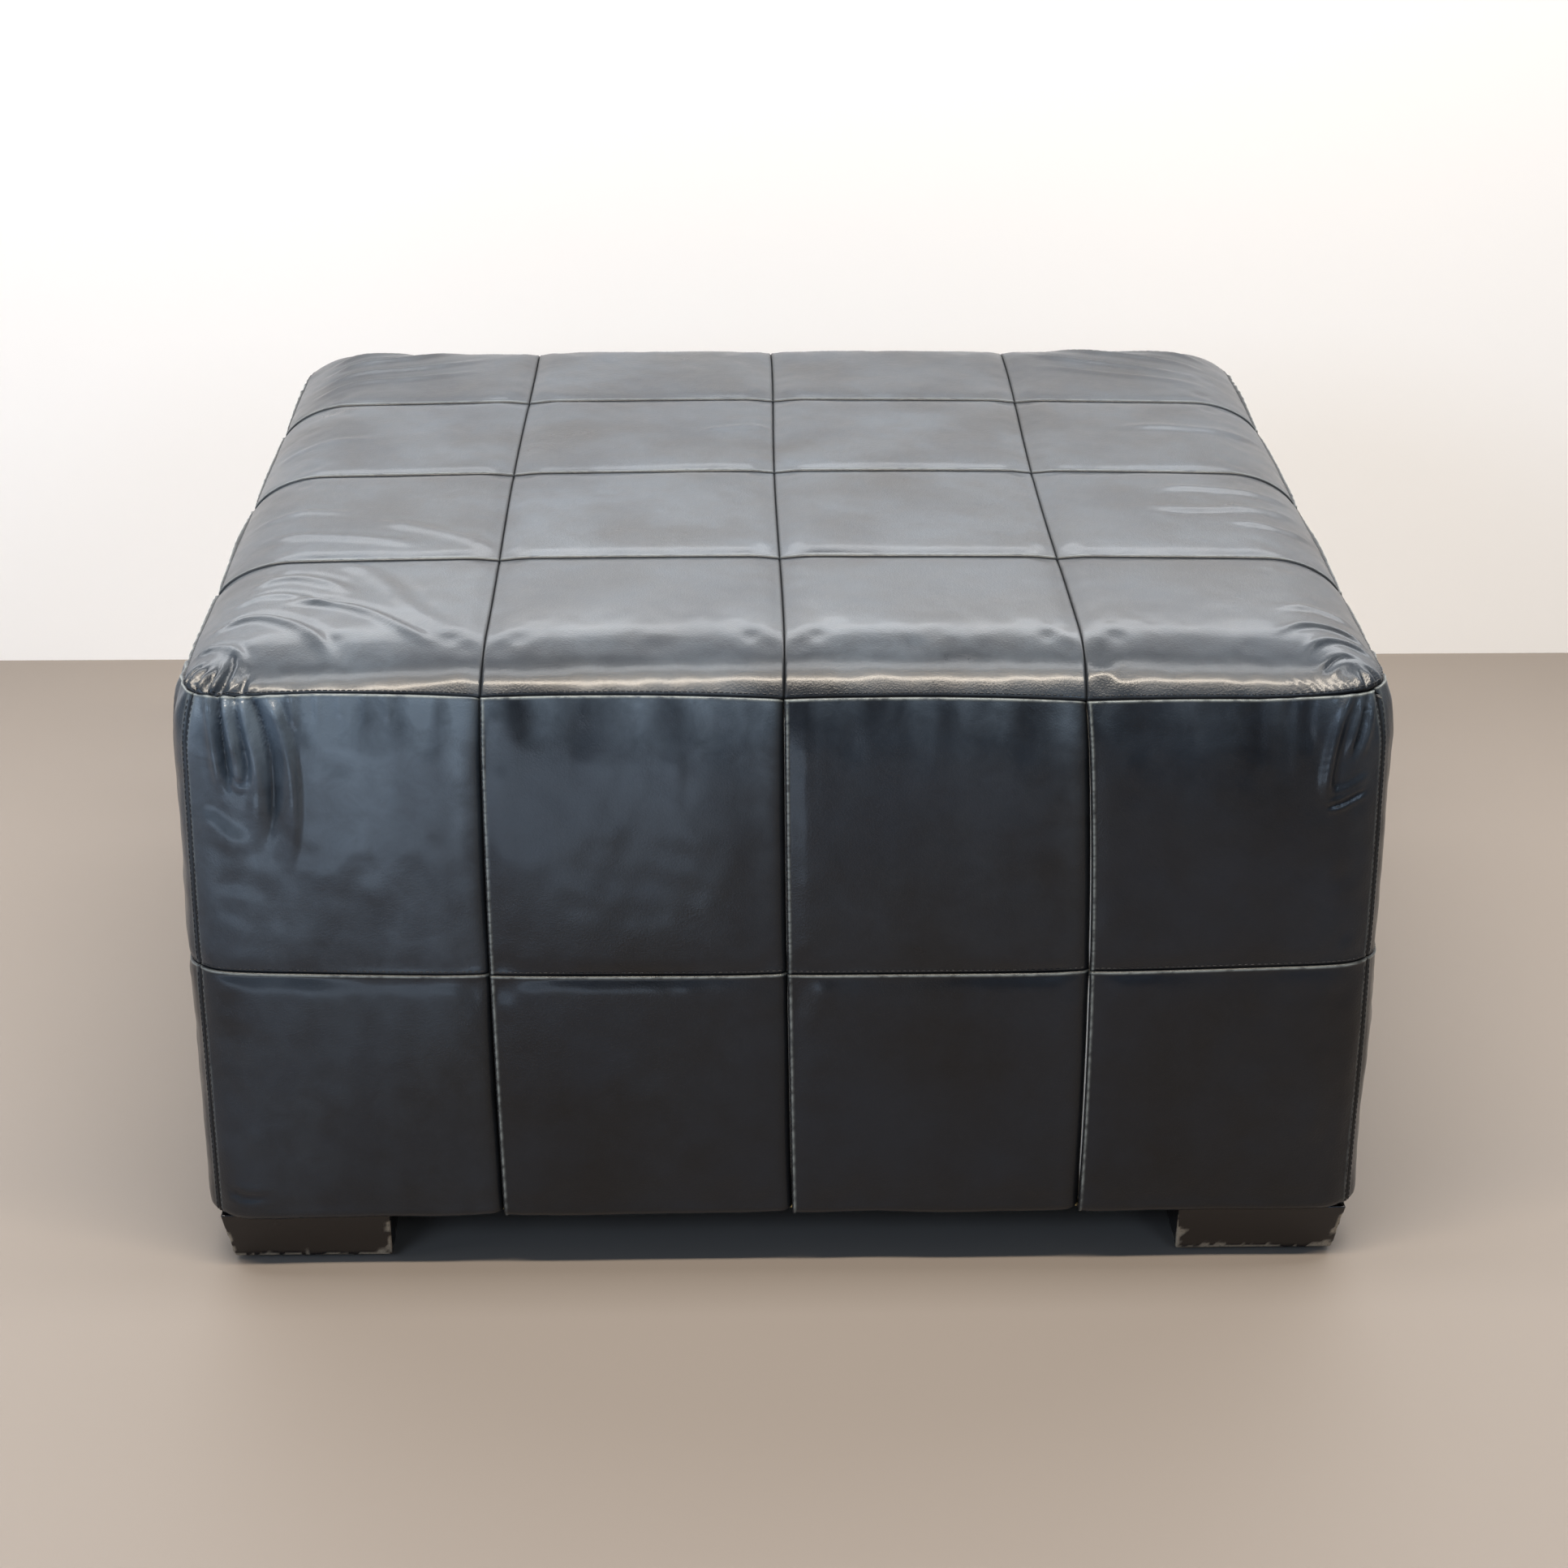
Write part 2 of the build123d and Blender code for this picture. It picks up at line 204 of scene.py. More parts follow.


# Drift of the seams where they cross, in mm, from the back to the front.
columnDrift = {
    -1: (0.0, 0.2, -1.2, -0.4, -1.8),
    0: (0.8, 1.0, -1.3, -0.8, -1.4),
    1: (1.5, 0.6, -3.2, -2.6, -1.0),
}
sideDrift = {  # per column: shoulder seam, middle seam, hem
    "front": {-1: (-1.8, -1.1, 2.8), 0: (-1.4, 0.9, 5.0), 1: (-1.0, 6.7, 5.7)},
    "right": {-1: (1.2, -1.5, 0.5), 0: (-0.8, 1.4, -2.0), 1: (0.6, 2.4, 1.0)},
    "back": {-1: (-1.5, 1.8, 3.0), 0: (-0.8, -1.6, 1.2), 1: (0.0, 1.0, -2.5)},
    "left": {-1: (0.8, 2.2, -1.0), 0: (1.0, -1.0, 1.8), 1: (-1.4, 1.2, 3.2)},
}


def bendThrough(values, at, ends):
    knots = np.linspace(ends[0], ends[1], len(values))
    return np.polyval(np.polyfit(knots, values, len(values) - 1), at)


def driftAcross(column, perColumn):
    low = np.clip(np.floor(column), -2, 1)
    share = column - low
    total = np.zeros(np.shape(column))
    for place, values in perColumn.items():
        weight = np.where(low == place, 1 - share, np.where(low + 1 == place, share, 0.0))
        total += weight * values
    return total


# Leather coordinate (-2 to 2 patches) to mm of leather from the middle line.
def leatherRun(place, half):
    size = np.abs(place)
    outer = patchPitch + (half - patchPitch) * (size - 1)
    return np.sign(place) * np.where(size <= 1, patchPitch * size, outer)


topHalfRun = cover["flat"] + cover["shoulderRun"]
sideHalfRun = cover["flat"] + cover["sideCornerRun"]


# Pushes a round corner out towards a square one.
def cornerPush(turn):
    power = cover["cornerPower"]
    return (np.abs(np.cos(turn)) ** power + np.abs(np.sin(turn)) ** power) ** (-1 / power)


# Top panel: flat middle, elliptical shoulder. a and b are leather mm from the middle.
def topSurface(a, b):
    flat = cover["flat"]
    ringA = np.maximum(np.abs(a) - flat, 0) / cover["shoulderRun"]
    ringB = np.maximum(np.abs(b) - flat, 0) / cover["shoulderRun"]
    ring = np.maximum(ringA, ringB)
    safe = np.maximum(ring, 1e-9)
    turn = np.where(ringA >= ringB, ringB / safe, 2 - ringA / safe) * math.pi / 4
    angle = ring * seamAngle
    out = cover["shoulderOut"] * np.sin(angle) * cornerPush(turn)
    x = np.sign(a) * (np.minimum(np.abs(a), flat) + out * np.cos(turn) * (ring > 0))
    y = np.sign(b) * (np.minimum(np.abs(b), flat) + out * np.sin(turn) * (ring > 0))
    drop = cover["shoulderDown"] * (1 - np.cos(angle))
    z = blockTop - drop - crownDrop(x, y, np.minimum(ring, 1))
    rise = np.where(
        ringB > ringA,
        np.where(b < 0, seamRise("front", x), seamRise("back", -x)),
        np.where(a > 0, seamRise("right", y), seamRise("left", -y)),
    )
    return np.stack([x, y, z + rise * ring**2], axis=-1)


def topForm(s, t):
    drift = driftAcross(s, {c: bendThrough(v, -t, (-2, 2)) for c, v in columnDrift.items()})
    a = leatherRun(s, topHalfRun) + drift * (1 - softStep(np.abs(s) - 1))
    b = leatherRun(t, topHalfRun) + 0.9 * np.sin(s * 1.7 + t * 2.3) * (1 - softStep(np.abs(t) - 1))
    return topSurface(a, b)


# Side panels, drawn for the front and turned about Z for the others. u runs along the side,
# v is 0 at the hem's inner edge, 1 at the middle seam and 2 at the shoulder seam.
sideTurn = {"front": 0.0, "right": math.pi / 2, "back": math.pi, "left": -math.pi / 2}
hemArc = cover["hemRadius"] * math.pi / 2
lowerRun = (midSeam - hemBottom - cover["hemRadius"]) + hemArc + cover["hemFlange"]


def turned(points, angle):
    c, s = math.cos(angle), math.sin(angle)
    x, y = points[..., 0], points[..., 1]
    return np.stack([c * x - s * y, s * x + c * y, points[..., 2]], axis=-1)


def sideSurface(side, run, v):
    flat = cover["flat"]
    corner = np.clip((np.abs(run) - flat) / cover["sideCornerRun"], 0, 1)
    turn = corner * math.pi / 4
    straight = np.minimum(np.abs(run), flat)
    rise = seamRise(side, np.sign(run) * (straight + 20 * corner))
    smile = cover["smile"] * (np.abs(run) / sideHalfRun) ** 3
    # profile: from the hem's inner edge round the lower edge and up
    w = np.clip(v, 0, 1) * lowerRun
    wall = w - cover["hemFlange"] - hemArc
    bend = np.clip((w - cover["hemFlange"]) / hemArc, 0, 1) * math.pi / 2
    zLow = hemBottom + cover["hemRadius"] * (1 - np.cos(bend)) + np.maximum(wall, 0)
    inset = cover["hemRadius"] * (1 - np.sin(bend)) + np.maximum(cover["hemFlange"] - w, 0)
    top = topSeam + rise
    middle = midSeam + smile
    lowShare = np.clip((zLow - hemBottom) / (midSeam - hemBottom), 0, 1)
    z = np.where(v <= 1, zLow + smile * lowShare**2, middle + (top - middle) * (v - 1))
    down = np.maximum(top - z, 0)
    flare = cover["sideFlare"] * (1 - np.exp(-down / 11))
    height = np.clip((z - hemBottom) / (topSeam - hemBottom), 0, 1)
    belly = cover["sideBelly"] * np.sin(math.pi * height) - 1.2 * (1 - height)
    across = 1 - (straight / (flat * 1.25)) ** 4
    half = seamHalf + flare + belly * across
    radius = half - flat
    radius = radius + (cover["cornerRadius"] - radius) * softStep(down / 40)
    centre = half - radius
    radius = np.maximum(radius - inset, 1.0)
    outward = (centre - flat) * (straight / flat) ** 6
    radius = radius * cornerPush(turn)
    x = np.sign(run) * (straight + outward + radius * np.sin(turn))
    y = -(centre + radius * np.cos(turn))
    return turned(np.stack([x, y, z], axis=-1), sideTurn[side])


def sideForm(side):
    def form(u, v):
        stops = sideDrift[side]
        drift = driftAcross(u, {c: bendThrough(w[::-1], v, (0.15, 2)) for c, w in stops.items()})
        run = leatherRun(u, sideHalfRun) + drift * (1 - softStep(np.abs(u) - 1))
        return sideSurface(side, run, v)

    return form


# Seams: how the leather turns in at each kind of edge
# roll: radius of the turned edge, pull: shallow draw towards the seam, ridge: raised allowance
# beside it, wear: how far the finish on that ridge has rubbed off.
seamStyles = {
    "topColumn": {"roll": 2.0, "depth": 2.2, "pull": 1.3, "pullWidth": 11.0},
    "topRowNear": {"roll": 1.6, "depth": 1.8, "pull": 1.2, "pullWidth": 12.0},
    "topRowFar": {
        "roll": 1.3, "depth": 1.7, "pull": 0.35, "pullWidth": 8.0,
        "ridge": 0.5, "ridgeAt": 1.9, "ridgeWidth": 1.0, "wear": 0.35,
    },
    "shoulderAbove": {"roll": 3.0, "depth": 3.0, "pull": 0.4, "pullWidth": 9.0},
    "shoulderBelow": {
        "roll": 1.1, "depth": 1.3, "pull": -0.2, "pullWidth": 6.0,
        "ridge": 0.5, "ridgeAt": 1.1, "ridgeWidth": 0.75, "wear": 1.0, "bead": 0.15,
    },
    "sideLeftOf": {"roll": 8.0, "depth": 5.6, "pull": 1.6, "pullWidth": 22.0},
    "sideRightOf": {
        "roll": 1.3, "depth": 1.7, "pull": 0.4, "pullWidth": 10.0,
        "ridge": 0.6, "ridgeAt": 1.7, "ridgeWidth": 0.95, "wear": 0.75, "bead": 0.6,
    },
    "middleAbove": {"roll": 1.8, "depth": 1.9, "pull": 0.8, "pullWidth": 10.0},
    "middleBelow": {
        "roll": 1.1, "depth": 1.2, "pull": 0.3, "pullWidth": 9.0,
        "ridge": 0.5, "ridgeAt": 1.2, "ridgeWidth": 0.8, "wear": 0.85, "bead": 0.2,
    },
    "corner": {
        "roll": 2.0, "depth": 2.0, "pull": 1.1, "pullWidth": 9.0,
        "ridge": 0.35, "ridgeAt": 3.2, "ridgeWidth": 1.0, "wear": 0.25, "bead": 0.4,
    },
    "hem": {"roll": 0.6, "depth": 0.0, "pull": 0.0, "pullWidth": 5.0},
}
stitching = {"pitch": 4.0, "length": 2.7, "radius": 0.36, "sunk": 0.05}


def edgeShape(distance, run, style):
    bite = np.clip(1 - distance / style["roll"], 0, 1)
    drop = style["depth"] * (1 - np.sqrt(np.maximum(1 - bite**2, 0)))
    drop = drop + style["pull"] * np.exp(-((distance / style["pullWidth"]) ** 2))
    width = style.get("ridgeWidth", 0.8)
    bead = (0.5 + 0.5 * np.cos(2 * math.pi * run / stitching["pitch"])) ** 3
    bead = 1 - style.get("bead", 0.0) * bead
    fromRidge = distance - style.get("ridgeAt", 1.0)
    ridge = style.get("ridge", 0.0) * bead * np.exp(-((fromRidge / width) ** 2))
    wear = style.get("wear", 0.0) * bead * np.exp(-((fromRidge / (0.9 * width)) ** 2))
    # the third value is painted shade where the edge rolls into its seam
    return drop - ridge, wear, np.exp(-((distance / (style["roll"] * 0.8)) ** 2))


# Folds and gathers


# Points are mm seen square on: x, y on the top; distance along the side and height on a side.
def foldAt(height, width, *points, **more):
    return {"points": points, "height": height, "width": width, **more}


topFolds = [
    foldAt(3.33, 5.5, (-392, -318), (-362, -310), (-334, -324), (-311, -350), (-294, -388)),
    foldAt(2.9, 4.2, (-396, -345), (-377, -349), (-362, -364), (-354, -384)),
    foldAt(2.75, 5.1, (-345, -284), (-310, -290), (-280, -309), (-252, -341), (-226, -368)),
    foldAt(2.17, 6.0, (-372, -246), (-341, -238), (-313, -250), (-292, -275)),
    foldAt(1.89, 7.6, (-322, -204), (-290, -226), (-266, -270), (-246, -312), (-212, -352)),
    foldAt(1.74, 5.1, (-386, -276), (-352, -270), (-322, -282), (-300, -304)),
    foldAt(1.74, 6.8, (-380, -142), (-340, -150), (-290, -160), (-246, -178)),
    foldAt(1.59, 7.6, (-300, -118), (-262, -134), (-226, -160), (-205, -182)),
    foldAt(1.3, 6.0, (-388, -96), (-348, -92), (-300, -104)),
    foldAt(2.17, 5.5, (-384, 232), (-340, 256), (-292, 268), (-232, 292)),
    foldAt(2.75, 5.5, (-382, 262), (-340, 288), (-290, 302), (-226, 334)),
    foldAt(2.61, 5.1, (-380, 298), (-342, 322), (-300, 338), (-250, 368)),
    foldAt(2.17, 4.7, (-376, 330), (-350, 350), (-322, 364), (-290, 386)),
    foldAt(1.16, 6.8, (-390, 70), (-350, 84), (-300, 92)),
    foldAt(1.3, 6.0, (-60, 96), (-30, 108), (12, 112)),
    foldAt(2.46, 5.1, (214, 344), (258, 318), (304, 300), (366, 268)),
    foldAt(2.61, 5.1, (228, 378), (276, 350), (322, 330), (378, 300)),
    foldAt(2.17, 4.7, (262, 392), (304, 372), (344, 352), (384, 334)),
    foldAt(1.59, 6.0, (222, 302), (268, 280), (318, 262), (372, 240)),
    foldAt(1.45, 6.8, (392, 120), (350, 108), (300, 116), (262, 108)),
    foldAt(1.45, 6.0, (392, -42), (352, -52), (304, -48), (272, -58)),
    foldAt(1.59, 6.4, (390, -78), (350, -92), (300, -98), (262, -88)),
    foldAt(1.3, 5.1, (394, -122), (356, -130), (322, -124)),
    foldAt(2.17, 4.2, (396, -336), (372, -328), (346, -334), (322, -352)),
    foldAt(2.03, 3.8, (398, -356), (376, -350), (354, -358), (338, -376)),
    foldAt(1.3, 5.1, (392, -300), (362, -296), (330, -306)),
    foldAt(
        3.4, 3.6, (-371, -404), (-368, -394), (-363, -380), (-361, -366),
        crease=True, fades=(0.02, 0.4)
    ),
    foldAt(3.2, 3.2, (-381, -402), (-377, -390), (-370, -376), crease=True, fades=(0.02, 0.4)),
    foldAt(3.0, 3.2, (-391, -396), (-385, -384), (-377, -371), crease=True, fades=(0.02, 0.4)),
    foldAt(2.6, 3.2, (-398, -384), (-391, -374), (-380, -364), crease=True, fades=(0.02, 0.4)),
    foldAt(1.8, 3.2, (-357, -405), (-354, -394), (-351, -384), crease=True, fades=(0.02, 0.5)),
    foldAt(2.4, 3.0, (384, -402), (381, -390), (376, -380), crease=True, fades=(0.02, 0.4)),
    foldAt(2.2, 3.0, (396, -392), (389, -382), (379, -374), crease=True, fades=(0.02, 0.4)),
    foldAt(1.3, 3.4, (352, -388), (364, -376), (380, -370), crease=True),
]
sideFolds = {
    "front": [
        foldAt(
            6.2, 4.6, (-371, 436), (-369, 410), (-367, 384), (-365, 362),
            crease=True, fades=(0.03, 0.3)
        ),
        foldAt(
            5.6, 4.2, (-361, 436), (-357, 412), (-353, 388), (-353, 362),
            crease=True, fades=(0.03, 0.35)
        ),
        foldAt(2.6, 2.6, (-365, 428), (-362, 404), (-359, 384), hollow=0.0, fades=(0.1, 0.4)),
        foldAt(1.6, 3.0, (-363, 378), (-358, 372), (-352, 376), crease=True),
        foldAt(
            6.4, 7.5, (-349, 432), (-341, 408), (-337, 382), (-338, 350), (-344, 316),
            crease=True, fades=(0.06, 0.35)
        ),
        foldAt(
            3.6, 3.4, (-336, 428), (-327, 404), (-323, 374), (-324, 340), (-330, 304),
            fades=(0.1, 0.4)
        ),
        foldAt(2.4, 3.0, (-324, 431), (-322, 416), (-322, 404), fades=(0.03, 0.5)),
        foldAt(-1.3, 2.4, (-309, 431), (-309, 420), (-308, 409), fades=(0.03, 0.5)),
        foldAt(1.0, 2.6, (-292, 431), (-291, 421), (-291, 413), fades=(0.03, 0.5)),
        foldAt(-0.9, 3.2, (-280, 431), (-279, 418), (-281, 404), fades=(0.03, 0.5)),
        foldAt(0.8, 3.4, (-262, 431), (-260, 420), (-261, 411), fades=(0.03, 0.5)),
        foldAt(1.4, 8.0, (-388, 352), (-372, 334), (-350, 322)),
        foldAt(0.9, 13.0, (-318, 296), (-290, 318), (-262, 352)),
        foldAt(0.8, 12.0, (-284, 282), (-262, 306), (-240, 348)),
        foldAt(4.2, 4.2, (371, 432), (362, 404), (357, 372), (359, 346), fades=(0.04, 0.35)),
        foldAt(3.6, 3.4, (384, 432), (378, 402), (372, 380), crease=True, fades=(0.04, 0.4)),
        foldAt(1.7, 2.4, (356, 350), (368, 353), (386, 361), crease=True, fades=(0.25, 0.2)),
        foldAt(0.9, 3.2, (358, 360), (371, 363), (388, 372), fades=(0.3, 0.2)),
        foldAt(-1.3, 4.0, (346, 432), (343, 408), (345, 384), fades=(0.04, 0.4)),
        foldAt(1.1, 6.0, (322, 431), (318, 400), (320, 366), fades=(0.05, 0.5)),
        foldAt(1.0, 7.0, (298, 431), (292, 396), (300, 350), fades=(0.05, 0.5)),
        foldAt(1.8, 4.5, (-386, 66), (-372, 60), (-350, 63), crease=True),
        foldAt(0.35, 1.2, (60, 386), (66, 376), (80, 372), crease=True),
    ],
}


foldTop = 431  # height at which the freely placed folds leave the shoulder seam


# Folds for the sides that no one looks at first: the same habits, freely placed.
def freeFolds(seed):
    rng = np.random.default_rng(seed)
    folds = []
    for end in (-1, 1):
        for n in range(4):
            x = end * (376 - 17 * n + rng.uniform(-4, 4))
            length = rng.uniform(38, 110) * (1 - 0.12 * n)
            lean = end * rng.uniform(-14, 4)
            curve = ((0, 0), (0.5, 0.6), (1, 1))  # share of its length and of its lean
            points = [(x + lean * sway, foldTop - length * down) for down, sway in curve]
            height = rng.choice([-1, 1]) * rng.uniform(0.8, 1.9)
            folds.append(foldAt(height, rng.uniform(3.8, 6.0), *points, fades=(0.05, 0.5)))
    return folds


for freeSide, freeSeed in (("right", 5), ("back", 6), ("left", 7)):
    sideFolds[freeSide] = freeFolds(freeSeed)


# Gathers: where the top's slack is eased into the shoulder seam, most of it near the corners.
gathers = {  # corner: (reach from the corner along each seam, height, mean spacing)
    "front_left": (70, 2.6, 8.0),
    "front_right": (120, 1.3, 6.4),
    "back_right": (76, 1.7, 7.8),
    "back_left": (72, 1.9, 8.2),
}


# along: leather mm from the corner, below: mm from the seam
def gatherHeight(along, below, reach, height, spacing, seed):
    rng = np.random.default_rng(seed)
    wobble = sum(
        rng.uniform(0.5, 1.3) * np.sin(along / rng.uniform(9, 26) + rng.uniform(0, 6))
        for _ in range(3)
    )
    wave = np.sin(math.pi * along / spacing + wobble + below * 0.02)
    pleat = 1.6 * (0.45 - np.abs(wave) ** 0.6)  # sharp valleys between rounded tucks
    near = 1 - softStep(np.abs(along) / reach)
    length = 6 + 6 * (0.5 + 0.5 * np.sin(along / 7 + seed))
    return -height * pleat * near * np.exp(-((below / length) ** 1.5))


# Slow waves and small unevenness of the leather: wavelengths in mm, and heights in mm in the middle
# and at the outer edge, which is reached over some mm from a place on.
unevenness = {
    "top": {
        "broadMm": (70, 170), "broad": (0.36, 0.2), "fineMm": (16, 42), "fine": (0.05, 0.07),
        "edgeFrom": 190, "edgeOver": 170,
    },
    "side": {
        "broadMm": (80, 190), "broad": (0.55, 0.55), "fineMm": (18, 48), "fine": (0.07, 0.15),
        "easedMm": (9, 22), "eased": (0.14, 0.44),  # upright ripples under the shoulder seam
        "easedDown": 26, "edgeFrom": 240, "edgeOver": 110,
    },
}


def between(ends, share):
    return ends[0] + (ends[1] - ends[0]) * share


def topDetail(s, t, points):
    flatPoints = points[..., :2]
    height = sum(foldHeight(flatPoints, fold) for fold in topFolds)
    a, b = leatherRun(s, topHalfRun), leatherRun(t, topHalfRun)
    fromA, fromB = topHalfRun - np.abs(a), topHalfRun - np.abs(b)
    for number, (corner, (reach, size, spacing)) in enumerate(gathers.items()):
        right, back = ("right" in corner), ("back" in corner)
        here = ((a > 0) == right) & ((b > 0) == back)
        alongCorner = fromA - fromB
        seamGap = np.minimum(fromA, fromB)
        eased = gatherHeight(alongCorner, seamGap, reach, size, spacing, 11 + number)
        height = height + here * eased
    rough = unevenness["top"]
    broad = ripples(points, rough["broadMm"], cover["seed"])
    fine = ripples(points, rough["fineMm"], cover["seed"] + 1)
    fromMiddle = np.maximum(np.abs(a), np.abs(b))
    outer = softStep((fromMiddle - rough["edgeFrom"]) / rough["edgeOver"])
    return height + between(rough["broad"], outer) * broad + between(rough["fine"], outer) * fine


def sideDetail(side):
    def detail(u, v, points):
        local = turned(points, -sideTurn[side])
        flatPoints = np.stack([local[..., 0], local[..., 2]], axis=-1)
        height = sum(foldHeight(flatPoints, fold) for fold in sideFolds[side])
        rough = unevenness["side"]
        broad = ripples(points, rough["broadMm"], cover["seed"] + 2)
        fine = ripples(points, rough["fineMm"], cover["seed"] + 3)
        below = np.maximum(topSeam - points[..., 2], 0)
        outer = softStep((np.abs(local[..., 0]) - rough["edgeFrom"]) / rough["edgeOver"])
        tall = flatPoints * (1, 0.12)
        upright = {"direction": (1, 0), "spread": 0.1}
        eased = ripples(tall, rough["easedMm"], cover["seed"] + 4, **upright)
        eased = between(rough["eased"], outer) * eased * np.exp(-below / rough["easedDown"])
        return height + rough["broad"][0] * broad + between(rough["fine"], outer) * fine + eased

    return detail


# Building patches


def gridLine(length, spacing):
    inner = length - 2 * edgeSteps[-1]
    count = max(int(round(inner / spacing)), 4)
    middle = np.linspace(edgeSteps[-1], length - edgeSteps[-1], count + 1)
    return np.concatenate([edgeSteps[:-1], middle, length - edgeSteps[-2::-1]])


def surfaceNormals(points):
    du = np.gradient(points, axis=0)
    dv = np.gradient(points, axis=1)
    normal = np.cross(du, dv)
    return normal / np.maximum(np.linalg.norm(normal, axis=-1), 1e-12)[..., None]


# Points and normals of a patch's plain form at shares p, q (0 to 1) across and up it.
def plainSpots(patch, p, q):
    form = patch["form"]
    low, high = np.array(patch["corner"]), np.array(patch["corner"]) + 1
    u, v = low[0] + p, low[1] + q
    e = 0.004
    du = form(np.minimum(u + e, high[0]), v) - form(np.maximum(u - e, low[0]), v)
    dv = form(u, np.minimum(v + e, high[1])) - form(u, np.maximum(v - e, low[1]))
    normals = np.cross(du, dv)
    normals /= np.maximum(np.linalg.norm(normals, axis=-1), 1e-12)[..., None]
    return u, v, form(u, v), normals


# How far the padding swells the leather out of its plain form: each patch is held along its seams
# and blown out over the foam as cloth, a little larger than its opening.
swell = {
    "gridMm": 11.0,
    "slack": 0.002,
    "start": 0.4,  # mm under the plain form at the first frame
    "frames": 20,
    "capMm": 2.4,  # most that the padding can push out, and most that the leather can sink
    "sinkMm": 0.5,
    "cloth": {
        "quality": 5,
        "mass": 0.3,
        "tension_stiffness": 20,
        "compression_stiffness": 20,
        "bending_stiffness": 1.5,
        "air_damping": 4,
        "use_pressure": True,
        "uniform_pressure_force": 4.0,
        "vertex_group_mass": "sewn",
    },
}


def simulateSwell(patches):
    points, normals, faces, held, shapes, start = [], [], [], [], [], 0
    for patch in patches:
        counts = [max(int(round(size / swell["gridMm"])), 8) + 1 for size in patch["sizes"]]
        p, q = np.meshgrid(*(np.linspace(0, 1, count) for count in counts), indexing="ij")
        _, _, spots, ways = plainSpots(patch, p, q)
        border = (p == 0) | (p == 1) | (q == 0) | (q == 1)
        if "hem" in patch["edges"]:  # stapled under the rail as far as the lower edge
            border |= q * patch["sizes"][1] < cover["hemFlange"] + hemArc
        points.append((spots - ways * (swell["start"] * ~border)[..., None]).reshape(-1, 3))
        normals.append(ways.reshape(-1, 3))
        faces.append(gridFaces(counts[0], counts[1], start))
        held += (np.flatnonzero(border) + start).tolist()
        shapes.append(counts)
        start += counts[0] * counts[1]
    points, normals = np.concatenate(points), np.concatenate(normals)
    piece = meshObject("swelling_cover", points, np.concatenate(faces))
    piece.vertex_groups.new(name="sewn").add(held, 1.0, "REPLACE")
    cloth = piece.modifiers.new("padding", "CLOTH").settings
    for key, value in swell["cloth"].items():
        setattr(cloth, key, value)
    cloth.shrink_min = -swell["slack"]
    cloth.effector_weights.gravity = 0
    for step in range(1, swell["frames"] + 1):
        bpy.context.scene.frame_set(step)
    settled = piece.evaluated_get(bpy.context.evaluated_depsgraph_get()).to_mesh()
    moved = np.empty(len(points) * 3, dtype=np.float32)
    settled.vertices.foreach_get("co", moved)
    rise = ((moved.reshape(-1, 3) / mm - points) * normals).sum(axis=1)
    most = np.where(rise > 0, swell["capMm"], swell["sinkMm"])
    rise = most * np.tanh(rise / most)
    bpy.context.scene.frame_set(1)
    mesh = piece.data
    bpy.data.objects.remove(piece)
    bpy.data.meshes.remove(mesh)
    start = 0
    for patch, counts in zip(patches, shapes):
        count = counts[0] * counts[1]
        patch["swell"] = rise[start : start + count].reshape(counts)
        start += count
    print(f"padding swelled: most {rise.max():.2f}, mean {rise.mean():.2f} mm")


# Reads a coarse grid between its points, smoothly.
def readGrid(values, p, q):
    total = np.zeros(p.shape)
    places = [np.clip(share, 0, 1) * (count - 1) for share, count in zip((p, q), values.shape)]
    cells = [np.minimum(place.astype(int), n - 2) for place, n in zip(places, values.shape)]
    weights = []
    for place, cell in zip(places, cells):
        f = place - cell
        before = -0.5 * f + f**2 - 0.5 * f**3
        here = 1 - 2.5 * f**2 + 1.5 * f**3
        after = 0.5 * f + 2 * f**2 - 1.5 * f**3
        weights.append((before, here, after, -0.5 * f**2 + 0.5 * f**3))
    for i in range(4):
        row = np.clip(cells[0] + i - 1, 0, values.shape[0] - 1)
        for j in range(4):
            column = np.clip(cells[1] + j - 1, 0, values.shape[1] - 1)
            total += weights[0][i] * weights[1][j] * values[row, column]
    return total


hazeAndSheenLook = {
    "cloudMm": (60, 150),
    "fleckMm": (16, 40),
    "seed": 71,
    "sideFade": 190,  # mm down the sides over which haze and painted sheen fade
    "sheenAndRubDown": 34,
    "streakMm": (14, 50),
    "highlightAt": 13,  # painted highlight: a paler strip beside the seam at a patch's right end
    "highlightWidth": 10,
    "highlightDown": 70,
}
